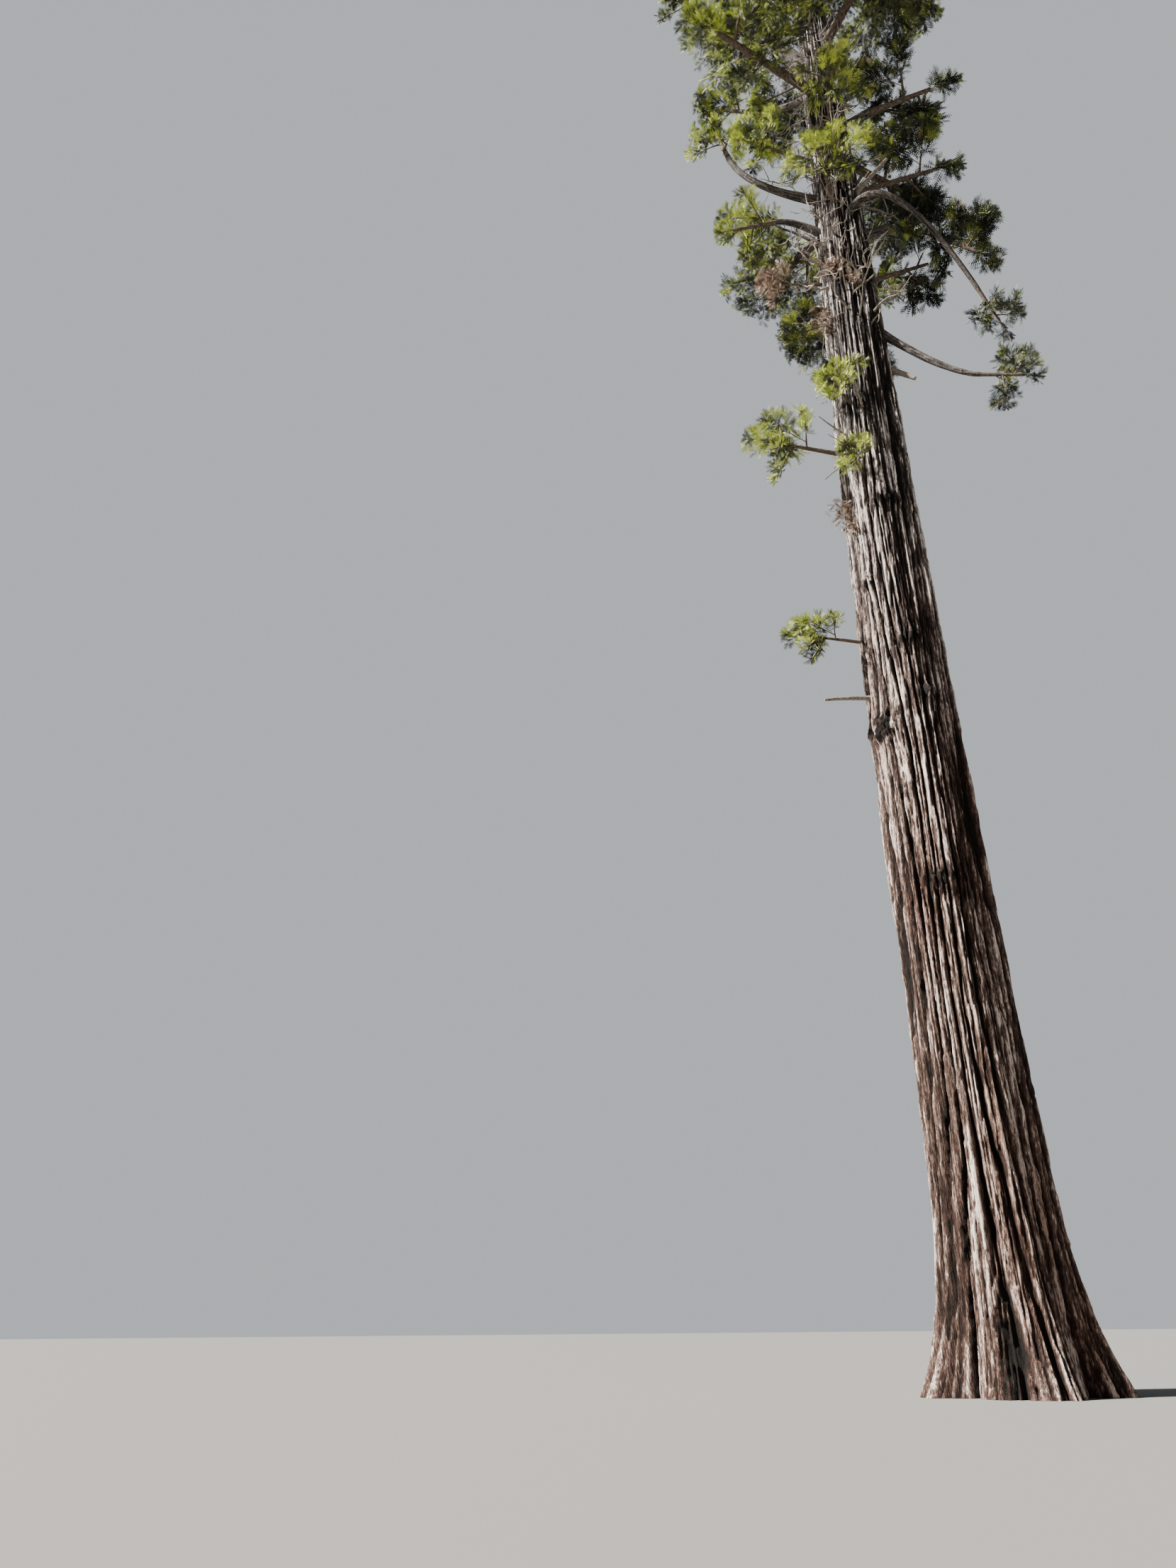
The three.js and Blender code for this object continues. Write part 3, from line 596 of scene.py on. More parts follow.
BOUGH_SEED, BOUGH_SEED_STEP = 300, 7
BOUGH_SIDES = 28
BOUGH_RINGS = 72
BOUGH_COLLAR, COLLAR_LENGTH = 0.45, 0.12
FIRST_SIDE_TURN = 0.3
# A limb's bark fields start at a height of their own. How thick it is, and how open its bark, is
# a least value, and more on its ridges and flecks. Knots mark where side shoots have dropped off.
FIELD_START = 10.0
BOUGH_RIDGES = {"count": 9, "furrow": 0.5, "stray": 0.9, "ragged": 0.3, "length": 1.5}
FLECKS_ROUND, FLECK_LENGTH, FLECK_SEED = 14, 0.3, 7
KNOTS_ROUND, KNOTS_ALONG, KNOT_MEAN, KNOT_SEED = 4, 9, 0.35, 2
SWELL, OPENNESS = (0.86, 0.1, 0.05), (0.13, 0.48, 0.25)
KNOT_SWELL = 0.16
LIMB_BROWN = (0.085, 0.058, 0.044)
LIMB_GREY = (0.22, 0.175, 0.15)
# The stops sit high, so the limbs' bark is painted darker overall: painted shade of the crown over them,
# and near-black painted shade in their furrows.
BOUGH_LOOK_WITH_PAINTED_SHADE = {
    "stops": [(0.1, FURROW_PAINTED_SHADE), (0.36, BARK_RED), (0.7, LIMB_BROWN), (1.0, LIMB_GREY)],
    "patch_colour": (0.6, 0.5, 0.42),
    "patch_amount": 0.6,
    "bump_distance": 0.012,
}


# The rings of a round limb along points, each as wide as its radius says.
def limb_rings(points, radii, sides, swell=1.0):
    ahead = np.gradient(points, axis=0)
    ahead /= np.linalg.norm(ahead, axis=1)[:, None]
    across = np.cross(ahead, sideways(ahead[0], FIRST_SIDE_TURN))
    across /= np.linalg.norm(across, axis=1)[:, None]
    over = np.cross(ahead, across)
    angle = angles_round(sides)[None, :, None]
    reach = radii[:, None] * np.ones(sides)[None, :] * swell
    turned = across[:, None] * np.cos(angle) + over[:, None] * np.sin(angle)
    return points[:, None] + turned * reach[..., None]


# A bough swells into a collar at its foot. Returns its rings and how open its bark is.
def bough_skin(limb, seed, collar=BOUGH_COLLAR):
    share = np.linspace(0.0, 1.0, BOUGH_RINGS)
    radii = limb["radius"] + (limb["tip_radius"] - limb["radius"]) * share
    radii = radii * (1 + collar * np.exp(-share / COLLAR_LENGTH))
    points = limb["curve"].point(share)
    length = np.linalg.norm(np.diff(points, axis=0), axis=1).sum()
    angle = angles_round(BOUGH_SIDES)[None, :]
    height = FIELD_START + share[:, None] * length
    phase = BOUGH_RIDGES["count"] * angle / (2 * np.pi)
    ridge, _ = out_of_furrow(phase, angle, height, BOUGH_RIDGES, seed)
    fleck = grain_field(angle, height, FLECKS_ROUND, FLECK_LENGTH, seed + FLECK_SEED)
    knot = grain_field(angle, height, KNOTS_ROUND, length / KNOTS_ALONG, seed + KNOT_SEED) - KNOT_MEAN
    swell, openness = (
        least + by_ridge * ridge + by_fleck * fleck for least, by_ridge, by_fleck in (SWELL, OPENNESS)
    )
    return limb_rings(points, radii, BOUGH_SIDES, swell + KNOT_SWELL * knot), openness


limb_bark = bark_material("limb_bark", **BOUGH_LOOK_WITH_PAINTED_SHADE)


def limb_piece(name, skins):
    mesh = tubes_mesh(name, [rings[None] for rings, _ in skins])
    mark_vertices(mesh, "openness", np.concatenate([openness.ravel() for _, openness in skins]))
    return add_piece(name, mesh, limb_bark)


bough_skins = [
    bough_skin(limb, BOUGH_SEED + BOUGH_SEED_STEP * i) for i, limb in enumerate(boughs.values())
]
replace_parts(limb_piece("bough_bark", bough_skins), *[f"{name}_limb" for name in boughs])

# The second stem
# A reiteration: an upright stem that springs from the trunk's left side near the crown, bends
# up beside it and carries its own top. It is bark over solid wood, as the trunk is.
SECOND_FOOT = (54.2, 182, 0.2)
SECOND_SAG = (56.4, 187, 1.9)
SECOND_ELBOW = (58.8, 189, 2.7)
SECOND_TIP = (66.6, 188, 2.5)
SECOND_RISE = 2.6
SECOND_RADII = (0.42, 0.3, 0.14)
SECOND_SEEDS = (500, 520)

second_foot = Bow(place(*SECOND_FOOT), place(*SECOND_SAG), place(*SECOND_ELBOW))
second_turn = second_foot.end + SECOND_RISE * second_foot.heading(1.0)
second_upright = Bow(second_foot.end, second_turn, place(*SECOND_TIP))
second_limbs = [
    {"curve": second_foot, "radius": SECOND_RADII[0], "tip_radius": SECOND_RADII[1]},
    {"curve": second_upright, "radius": SECOND_RADII[1], "tip_radius": SECOND_RADII[2]},
]
second_skins = [
    bough_skin(second_limbs[0], SECOND_SEEDS[0]),
    bough_skin(second_limbs[1], SECOND_SEEDS[1], collar=0.0),
]
second_bark = limb_piece("second_stem_bark", second_skins)
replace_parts(second_bark, "second_stem_foot", "second_stem_upright")

# Bare dead limbs
# Stubs and broken limbs that have lost their bark and weathered to grey, still fast in the
# trunk. Three long ones stand alone, and spikes and crooked twigs stick out where boughs have
# gone, most of the twigs on the side towards the light.
SNAGS = {
    "snag_right": (35.7, 355, 0.17, (34.3, 352, 1.95)),
    "snag_crown": (44.7, 330, 0.13, (46.2, 342, 2.35)),
    "snag_low": (20.7, 204, 0.1, (20.5, 205, 3.0)),
}
SNAG_TAPER = 0.45
SNAG_CROOK = 0.6
SNAG_SEED, SNAG_SEED_STEP = 600, 5
DEAD_TWIG_SEED = 41
SPIKES = {
    "count": 46,
    "height": (30.0, 62.0),
    "length": (0.35, 1.5),
    "radius": (0.03, 0.065),
    "sunk": 0.25,
    "rise": (-0.35, 0.3),
    "bend": 0.18,
    "taper": 0.75,
    "rings": 9,
    "sides": 6,
}
GNARLED = {
    "count": 110,
    "height": (37.0, 56.0),
    "length": (0.9, 3.0),
    "radius": (0.028, 0.07),
    "sunk": 0.2,
    "turn": (258.0, 42.0),
    "turned": 0.6,
    "swing": (-1.1, 1.1),
    "rise": (-0.7, 0.8),
    "tip": 0.25,
    "sides": 5,
}
KINKS = {"count": 6, "turn": 0.42, "lift": 0.1, "step": (0.6, 1.4)}
FORKS = {"count": 3, "first_kink": 2, "turn": 0.6, "length": 0.5, "radius": 0.55}


def snag_of(height, turn, radius, end):
    foot, tip = foot_of(height, turn), place(*end)
    crook = foot + (tip - foot) * SNAG_CROOK + radius * UP
    return {"curve": Bow(foot, crook, tip), "radius": radius, "tip_radius": SNAG_TAPER * radius}


snags = {name: snag_of(*row) for name, row in SNAGS.items()}


def spike_rings(chance):
    height = chance.uniform(*SPIKES["height"])
    turn = chance.uniform(0, 360)
    radius = chance.uniform(*SPIKES["radius"])
    bark_distance = surface_at(height, turn)
    length = chance.uniform(*SPIKES["length"])
    base = place(height, turn, bark_distance - SPIKES["sunk"])
    tip = place(height + chance.uniform(*SPIKES["rise"]) * length, turn, bark_distance + length)
    bend = (base + tip) / 2 + chance.uniform(-SPIKES["bend"], SPIKES["bend"], 3) * length
    share = np.linspace(0.0, 1.0, SPIKES["rings"])
    radii = radius * (1 - SPIKES["taper"] * share)
    return limb_rings(Bow(base, bend, tip).point(share), radii, SPIKES["sides"])


# A crooked twig turns at every kink, and each fork leaves it at one of them.
def gnarled_rings(root, heading, length, radius, chance):
    points = [root]
    for _ in range(KINKS["count"]):
        heading = unit(heading + chance.normal(0.0, KINKS["turn"], 3) + KINKS["lift"] * UP)
        points.append(points[-1] + heading * length / KINKS["count"] * chance.uniform(*KINKS["step"]))
    radii = radius * np.linspace(1.0, GNARLED["tip"], len(points))
    return limb_rings(np.array(points), radii, GNARLED["sides"]), points


def gnarled_twigs(chance):
    height = chance.uniform(*GNARLED["height"])
    turn = chance.uniform(0, 360)
    if chance.random() < GNARLED["turned"]:
        turn = chance.normal(*GNARLED["turn"])
    root = place(height, turn, surface_at(height, turn) - GNARLED["sunk"])
    out = unit(place(height, turn, 1.0) - trunk_middle(height))
    swing = np.cross(UP, out) * chance.uniform(*GNARLED["swing"])
    heading = unit(out + swing + UP * chance.uniform(*GNARLED["rise"]))
    length, radius = chance.uniform(*GNARLED["length"]), chance.uniform(*GNARLED["radius"])
    rings, points = gnarled_rings(root, heading, length, radius, chance)
    tubes = [rings]
    for _ in range(FORKS["count"]):
        kink = chance.integers(FORKS["first_kink"], KINKS["count"])
        way = unit(points[kink] - points[kink - 1] + chance.normal(0.0, FORKS["turn"], 3))
        fork_length, fork_radius = FORKS["length"] * length, FORKS["radius"] * radius
        tubes.append(gnarled_rings(points[kink], way, fork_length, fork_radius, chance)[0])
    return tubes


# Bare wood is mottled from one tone to another: scale, detail and roughness of the mottling.
WOOD_MOTTLING = ((30.0, 30.0, 30.0), 5.0, 0.7)
WOOD_TONES = [(0.3, (0.05, 0.038, 0.03)), (0.68, (0.36, 0.305, 0.26))]
WOOD_ROUGHNESS = 0.85
WOOD_BUMP, WOOD_BUMP_DEPTH = 0.6, 0.006


def mottled_wood(name, mottling, tones):
    material, tree, shader = new_material(name)
    place = add_node(tree, "ShaderNodeTexCoord", {}, "Object")
    mottles = stretched_noise(tree, place, *mottling)
    fill(shader, {"Base Color": ramp_of(tree, mottles, tones), "Roughness": WOOD_ROUGHNESS})
    return material, shader, mottles


dead_wood, dead_shader, checks = mottled_wood("dead_wood", WOOD_MOTTLING, WOOD_TONES)
fill(dead_shader, {"Normal": bumped(dead_wood.node_tree, checks, WOOD_BUMP, WOOD_BUMP_DEPTH)})

dead_chance = np.random.default_rng(DEAD_TWIG_SEED)
spikes = np.stack([spike_rings(dead_chance) for _ in range(SPIKES["count"])])
gnarled = np.stack([tube for _ in range(GNARLED["count"]) for tube in gnarled_twigs(dead_chance)])
snag_skins = [bough_skin(limb, SNAG_SEED + SNAG_SEED_STEP * i) for i, limb in enumerate(snags.values())]
snag_tubes = [rings[None] for rings, _ in snag_skins]
snag_mesh = tubes_mesh("snag_wood", snag_tubes + [spikes, gnarled])
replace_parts(add_piece("snag_wood", snag_mesh, dead_wood), *SNAGS)

# Stems, twigs and sprays
# In each space a stem goes on from its bough's tip, or springs from the trunk. Twigs turn about
# it by the golden angle and carry flat boughlets, and each boughlet branches again into the
# shoots that bear the needles. What would leave the space or touch wood is made smaller.
ROOM = 0.1
OWN_SHARE = 0.03
OUTERMOST = 1.18
LIMB_SAMPLES = 24
CLEARANCE = 0.0003 / to_model
STEM_TAPER = 0.5
STEM_FOOT = 0.7
STEM_DROP = 0.35
STEM_BEND = 0.35
STEM_REACH = 0.55
STEM_END = 0.93
TWIGS_AT_LEAST = 3
TWIGS_PER_SIZE = 0.66
GOLDEN_ANGLE = 137.5
TWIG_RADIUS = 0.03
TWIG_ENTRY = 0.8
TWIG_REACH = 0.55
TWIG_SHARE = (0.85, 1.0)
TWIG_SWING = (-18.0, 18.0)
TWIG_LEAN = (52.0, 78.0)
TWIG_DROOP = (-0.25, 0.0)
SHORTEST_TWIG = 0.2
LATEST_ENTRY = 0.6
ENTRY_STRIDE = 0.02
RUN_STRIDE = 0.05
TWIG_PROBES = (0.4, 0.7, 1.0)
BOUGHLET_LENGTH = 1.55
BOUGHLET_SHARE = (0.85, 1.1)
BOUGHLET_ROLL = (20.0, 80.0)
BOUGHLET_REACH = 1.14
BOUGHLET_TRIES = (1.0, 0.82, 0.66, 0.52)
BOUGHLET_SPACING = 0.36
BOUGHLET_PROBES = (0.25, 0.5, 0.75)
BOUGHLET_SPAN = 0.45
BOUGHLET_MIDDLE = 0.55
BOUGHLET_WIDTH = 0.76
BOUGHLET_OUTLINE = [
    (0.28, 0.44), (0.38, 0.2), (0.72, 0.46), (0.72, 0.16), (1.0, 0.02), (0.56, -0.52), (0.28, -0.22),
]
END_SHARE = 0.7
SIDE_SHARE = 0.42
SIDE_ASIDE = 58.0
STEM_PROBES = 12
STEM_ROOM = 0.3
SEED = 7919


# A repeatable stream of numbers, the same one that the solid tree is grown by.
class Chance:
    def __init__(self, seed):
        self.state = seed % 2**32

    def between(self, low, high):
        self.state = (self.state * 1664525 + 1013904223) % 2**32
        return low + (high - low) * self.state / 2**32


all_limbs = list(boughs.values()) + list(snags.values()) + second_limbs
limb_shares = np.linspace(0.0, 1.0, LIMB_SAMPLES + 1)
guard_points = np.concatenate([limb["curve"].point(limb_shares) for limb in all_limbs])
guard_radii = np.concatenate(
    [limb["radius"] + (limb["tip_radius"] - limb["radius"]) * limb_shares for limb in all_limbs]
)


def is_clear_of_limbs(point, room):
    return bool((np.linalg.norm(guard_points - point, axis=1) > guard_radii + room).all())


def stem_of(space):
    name = space["name"]
    carrier = second_limbs[1] if name == "second_top" else boughs.get(name)
    if carrier:
        ahead = carrier["curve"].heading(1.0)
        root = carrier["curve"].end + CLEARANCE * ahead
    elif name == "top":
        ahead = UP
        root = trunk_middle(TRUNK_TOP) + CLEARANCE * ahead
    else:
        height = space["height"] - STEM_DROP * space["half"][2]
        distance = STEM_FOOT * surface_at(height, space["turn"])
        root = place(height, space["turn"], distance)
        ahead = unit(space["centre"] - root)
    far = towards_skin(space, 2 * space["centre"] - root, STEM_REACH)
    return Bow(root, root + ahead * STEM_BEND * np.linalg.norm(root - far), far)

# Hidden masses follow a rule: they step round the trunk as they climb, and swing to and fro. Each
# reaches from the trunk out to the crown's reach, at heights. Half a mass outwards, across and
# upwards is a base and a share of that reach, up to a most.
CROWN_REACH = [(36, 5.0), (50, 6.8), (62, 6.8), (72, 5.2), (79, 3.2), (84, 1.2)]
HIDDEN_SPACES = {
    "back": {"count": 4, "from": 41.5, "to": 53.5, "turn": 92, "step": 0, "swing": 38},
    "upper": {"count": 14, "from": 56.5, "to": 79.2, "turn": 318, "step": GOLDEN_ANGLE, "swing": 0},
}
RULED_HALF = [(0.4, 0.42, 3.1), (0.6, 0.46, 3.5), (0.9, 0.3, 2.9)]
TOP_SPACE = (81.45, 30, 0.12, (1.5, 1.5, 2.2))
ELBOW_ROOM = 0.62
STEP_ASIDE = 15


def hidden_space(name, height, turn):
    heights, reaches = zip(*CROWN_REACH)
    reach = float(np.interp(height, heights, reaches))
    half = [min(most, base + per_reach * reach) for base, per_reach, most in RULED_HALF]
    return space_of(name, height, turn, reach - half[0], half)


# Each hidden mass steps aside until it stands clear of the masses placed before it, and its stem
# of the limbs.
def add_hidden_space(spaces, name, height, turn):
    for step in range(360 // STEP_ASIDE):
        space = hidden_space(name, height, turn + STEP_ASIDE * step)
        crowded = any(
            np.linalg.norm(other["centre"] - space["centre"])
            < ELBOW_ROOM * (other["half"][1] + space["half"][1])
            for other in spaces
        )
        stem_points = stem_of(space).point(np.linspace(0.0, 1.0, STEM_PROBES + 1))
        if not crowded and all(is_clear_of_limbs(point, STEM_ROOM) for point in stem_points):
            break
    spaces.append(space)


spaces = list(shown_spaces)
for name, rule in HIDDEN_SPACES.items():
    for i in range(rule["count"]):
        height = rule["from"] + (rule["to"] - rule["from"]) * (i / (rule["count"] - 1))
        turn = rule["turn"] + rule["step"] * i + rule["swing"] * (1 if i % 2 else -1)
        add_hidden_space(spaces, f"{name}_{i + 1}", height, turn)
spaces.append(space_of("top", *TOP_SPACE))
space_centres = np.array([space["centre"] for space in spaces])
space_axes = np.array([space["axes"] for space in spaces])
space_halves = np.array([space["half"] for space in spaces])


def is_free(number, point):
    local = np.einsum("sij,sj->si", space_axes, point - space_centres)
    depths = np.linalg.norm(local / space_halves, axis=1)
    others = np.delete(depths, number)
    if depths[number] > OUTERMOST or (others < depths[number] + OWN_SHARE).any():
        return False
    aside = point - trunk_middle(point[2])
    angle = math.atan2(aside[1], aside[0])
    away = math.hypot(aside[0], aside[1])
    if point[2] < TRUNK_TOP + ROOM and away < trunk_radius(point[2], angle) + ROOM:
        return False
    return is_clear_of_limbs(point, ROOM)


# Whether a limb runs through a boughlet, which its corners alone don't tell.
def is_pierced(root, ahead, side, length):
    away = guard_points - root
    abreast = np.abs(away @ side) < BOUGHLET_SPAN * BOUGHLET_WIDTH * length + guard_radii
    along = np.abs(away @ ahead - length / 2) < length / 2 + guard_radii
    return bool((abreast & along & (np.abs(away @ np.cross(side, ahead)) < guard_radii + ROOM)).any())


def run_to(space, start, direction, share):
    run = 0.0
    while depth_in(space, start + direction * (run + RUN_STRIDE)) < share:
        run += RUN_STRIDE
    return run


def grow_mass(number, space):
    chance = Chance(SEED * (number + 1))
    stem = stem_of(space)
    size = space["size"]
    twigs, boughlets = [], []

    def add_boughlet(root, ahead):
        roll = chance.between(*BOUGHLET_ROLL) * (1 if len(boughlets) % 2 else -1)
        side = sideways(ahead, math.radians(roll))
        longest = BOUGHLET_LENGTH * size * chance.between(*BOUGHLET_SHARE)
        room = min(longest, run_to(space, root, ahead, BOUGHLET_REACH))
        for share in BOUGHLET_TRIES:
            length = room * share
            middle = root + ahead * BOUGHLET_MIDDLE * length
            near = any(
                np.linalg.norm(other["middle"] - middle) < BOUGHLET_SPACING * size for other in boughlets
            )
            corners = [
                root + ahead * along * length + side * wide * length * BOUGHLET_WIDTH
                for along, wide in BOUGHLET_OUTLINE
            ]
            probes = corners + [root + ahead * part * length for part in BOUGHLET_PROBES]
            is_open = all(is_free(number, point) for point in probes)
            if not near and is_open and not is_pierced(root, ahead, side, length):
                boughlets.append(
                    {"root": root, "ahead": ahead, "side": side, "length": length, "middle": middle}
                )
                return True
        return False

    entry = 0.0
    while entry < LATEST_ENTRY and depth_in(space, stem.point(entry)) > TWIG_ENTRY:
        entry += ENTRY_STRIDE
    add_boughlet(stem.point(STEM_END), stem.heading(STEM_END))
    twig_count = math.floor(TWIGS_AT_LEAST + TWIGS_PER_SIZE * size + 0.5)
    for i in range(twig_count):
        along = entry + (STEM_END - entry) * (i + 0.5) / twig_count
        start, axis = stem.point(along), stem.heading(along)
        turn = sideways(axis, math.radians(GOLDEN_ANGLE * i + chance.between(*TWIG_SWING)))
        lean = math.radians(chance.between(*TWIG_LEAN))
        droop = UP * chance.between(*TWIG_DROOP)
        ahead = unit(droop + axis * math.cos(lean) + turn * math.sin(lean))
        run = run_to(space, start, ahead, TWIG_REACH) * chance.between(*TWIG_SHARE)
        tip = start + ahead * run
        clear = all(is_free(number, start + (tip - start) * share) for share in TWIG_PROBES)
        if run < SHORTEST_TWIG or not clear:
            continue
        aside = math.radians(SIDE_ASIDE * (1 if i % 2 else -1))
        turned = ahead * math.cos(aside) + sideways(ahead, 0.0) * math.sin(aside)
        has_end = add_boughlet(start + (tip - start) * END_SHARE, ahead)
        has_side = add_boughlet(start + (tip - start) * SIDE_SHARE, turned)
        if has_end or has_side:
            twigs.append((start, tip, TWIG_RADIUS * size))
    return {"space": space, "stem": stem, "twigs": twigs, "boughlets": boughlets}


masses = [grow_mass(number, space) for number, space in enumerate(spaces)]

# Twig wood
# Stems, twigs and shoots are thin brown wood, round and tapering, grown out of each other. The
# shoots stand off a boughlet in two rows and a few on its back, and hang a little at the tips.
BOUGHLET_SAG = 0.06
AXIS_RADII, SHOOT_RADII = (0.02, 0.007), (0.008, 0.003)
SHOOTS_AT_LEAST = 6
SHOOT_SPACING = 0.105
SHOOT_FIRST, SHOOT_LAST = 0.06, 0.95
SHOOT_STRAY = (0.2, 0.8)
SHOOT_ANGLE = (36.0, 64.0)
SHOOT_TILT = (-30.0, 30.0)
SHOOT_LENGTH = (0.8, 1.1)
SHOOT_SAG = 0.06
SHOOT_BEND = 0.55
SHOOT_WIDEST = 0.44
BACK_SHOOT_EVERY = 3
BACK_SHOOT_SHARE = 0.75
BACK_SHOOT_BELOW = 0.4
# A shoot's reach follows a leaf-shaped outline along its boughlet.
OUTLINE_START, OUTLINE_SPAN, OUTLINE_FULLNESS = 0.12, 0.86, 0.7
# Sprigs begin so far along a boughlet's own axis, and so far along a shoot.
AXIS_BARE, SHOOT_BARE = 0.4, 0.12
SPRIGS_AT_LEAST = 2
SPRIG_SPACING = 0.055
SPRIG_LENGTH = (0.28, 0.46)
SPRIG_TAPER = 0.25
SPRIG_ANGLE = (26.0, 66.0)
SPRIG_LIFT = (-0.12, 0.38)
SPRIG_FACE_STRAY = 0.45
SPRIG_REACH = 1.18
SHORTEST_SPRIG = 0.16
DENSE_MASSES = ("right_inner", "right_outer", "right_middle", "right_upper", "left_shaded")
DENSE_SCALE = 1.4
CROWN_MARGIN = 0.3
GROWTH_SEED = 73


def grow_boughlet(boughlet, chance):
    root, length, side = boughlet["root"], boughlet["length"], boughlet["side"]
    tip, sag = root + boughlet["ahead"] * length, UP * BOUGHLET_SAG * length
    axis = Bow(root, root + boughlet["ahead"] * length * 0.5 + sag, tip - sag)
    face = unit(np.cross(side, boughlet["ahead"]))
    shoots = [{"curve": axis, "face": face, "bare": AXIS_BARE, "radii": AXIS_RADII}]
    count = max(SHOOTS_AT_LEAST, round(length / SHOOT_SPACING))
    for i in range(count):
        share = SHOOT_FIRST + (SHOOT_LAST - SHOOT_FIRST) * (i + chance.uniform(*SHOOT_STRAY)) / count
        start, ahead = axis.point(share), axis.heading(share)
        hand = 1.0 if i % 2 else -1.0
        across = unit(np.cross(np.cross(ahead, side), ahead)) * hand
        over = np.cross(ahead, across)
        outline = math.sin(math.pi * min(1.0, OUTLINE_START + OUTLINE_SPAN * share))
        reach = length * SHOOT_WIDEST * outline**OUTLINE_FULLNESS
        if i % BACK_SHOOT_EVERY == BACK_SHOOT_EVERY - 1:
            stays = over[2] * hand > 0 or chance.random() < BACK_SHOOT_BELOW
            across, over = over * (hand if stays else -hand), across
            reach = reach * BACK_SHOOT_SHARE
        lean = math.radians(chance.uniform(*SHOOT_ANGLE))
        tilt = math.tan(math.radians(chance.uniform(*SHOOT_TILT)))
        way = unit(ahead * math.cos(lean) + (across + over * tilt) * math.sin(lean))
        run = reach * chance.uniform(*SHOOT_LENGTH)
        curve = Bow(start, start + way * run * SHOOT_BEND, start + way * run - UP * SHOOT_SAG * run)
        shoots.append({"curve": curve, "face": over, "bare": SHOOT_BARE, "radii": SHOOT_RADII})
    return shoots


def grow_sprigs(shoot, scale, chance):
    curve, bare = shoot["curve"], shoot["bare"]
    run = np.linalg.norm(curve.end - curve.start)
    count = max(SPRIGS_AT_LEAST, round(run * (1 - bare) / SPRIG_SPACING))
    sprigs = []
    for i in range(count + 1):
        share = bare + (1 - bare) * i / count
        ahead = curve.heading(share)
        face = unit(shoot["face"] + chance.normal(0.0, SPRIG_FACE_STRAY, 3))
        across = unit(np.cross(face, ahead))
        lean = 0.0 if i == count else math.radians(chance.uniform(*SPRIG_ANGLE)) * (1 if i % 2 else -1)
        lift = UP * chance.uniform(*SPRIG_LIFT)
        way = unit(ahead * math.cos(lean) + across * math.sin(lean) + lift)
        length = scale * chance.uniform(*SPRIG_LENGTH) * (1.0 - SPRIG_TAPER * share)
        sprigs.append((curve.point(share), way, face, length))
    return sprigs


crown_low, crown_high = (np.array(corner) / to_model for corner in cad_box)


# A sprig that would stand out past its mass's reach is shortened, or dropped where that is too
# short, and none stands out past the solid crown by more than a margin.
def kept_inside(space, sprig):
    root, way, face, length = sprig
    tip = root + way * length
    if (tip < crown_low - CROWN_MARGIN).any() or (tip > crown_high + CROWN_MARGIN).any():
        return None
    depth, tip_depth = depth_in(space, root), depth_in(space, tip)
    if tip_depth <= SPRIG_REACH:
        return sprig
    if depth >= SPRIG_REACH:
        return None
    length = length * (SPRIG_REACH - depth) / (tip_depth - depth)
    return (root, way, face, length) if length > SHORTEST_SPRIG else None


growth_chance = np.random.default_rng(GROWTH_SEED)
for mass in masses:
    mass["shoots"] = [shoot for b in mass["boughlets"] for shoot in grow_boughlet(b, growth_chance)]
    scale = DENSE_SCALE if mass["space"]["name"] in DENSE_MASSES else 1.0
    grown = [sprig for shoot in mass["shoots"] for sprig in grow_sprigs(shoot, scale, growth_chance)]
    kept = [kept_inside(mass["space"], sprig) for sprig in grown]
    mass["sprigs"] = [sprig for sprig in kept if sprig is not None]

# Rings and sides of each kind of tube.
STEM_TUBE, TWIG_TUBE, SHOOT_TUBE = (16, 8), (8, 6), (4, 3)
TWIG_TAPER = 0.5
TWIG_ARCH = 0.12


def wood_tube(curve, radii, rings, sides):
    share = np.linspace(0.0, 1.0, rings)
    return limb_rings(curve.point(share), radii[0] + (radii[1] - radii[0]) * share, sides)


stem_tubes, twig_tubes, shoot_tubes = [], [], []
for mass in masses:
    radius = STEM_RADIUS * mass["space"]["size"]
    stem_tubes.append(wood_tube(mass["stem"], (radius, STEM_TAPER * radius), *STEM_TUBE))
    for start, tip, radius in mass["twigs"]:
        bend = (start + tip) / 2 + TWIG_ARCH * UP * np.linalg.norm(tip - start)
        twig_tubes.append(wood_tube(Bow(start, bend, tip), (radius, TWIG_TAPER * radius), *TWIG_TUBE))
    for shoot in mass["shoots"]:
        shoot_tubes.append(wood_tube(shoot["curve"], shoot["radii"], *SHOOT_TUBE))

TWIG_MOTTLING = ((18.0, 18.0, 18.0), 3.0, 0.6)
TWIG_TONES = [(0.35, (0.04, 0.024, 0.016)), (0.7, (0.15, 0.108, 0.08))]
twig_bark, _, _ = mottled_wood("twig_bark", TWIG_MOTTLING, TWIG_TONES)
twig_mesh = tubes_mesh("twig_wood", [np.stack(stem_tubes), np.stack(twig_tubes), np.stack(shoot_tubes)])
add_piece("twig_wood", twig_mesh, twig_bark)

# Needle sprigs
# The last shoots carry flat needles in two ranks, green above and greyer below. A sprig here stands for
# several real ones. They are dealt into pieces by painted light and shade: yellow-green of young growth,
# painted brighter where it lies high, outside and towards the sun, dark green painted into shade inside,
# below, on the shaded side and under other trees, and brown where dead.
SPRIG_PAIRS = 5
NEEDLE_SHARE = 0.4
NEEDLE_WIDTH = 0.09
NEEDLE_ANGLE = math.radians(56.0)
NEEDLE_ROLL = math.radians(34.0)
NEEDLE_LIFT = math.radians(-12.0)
RACHIS_WIDTH = 0.04
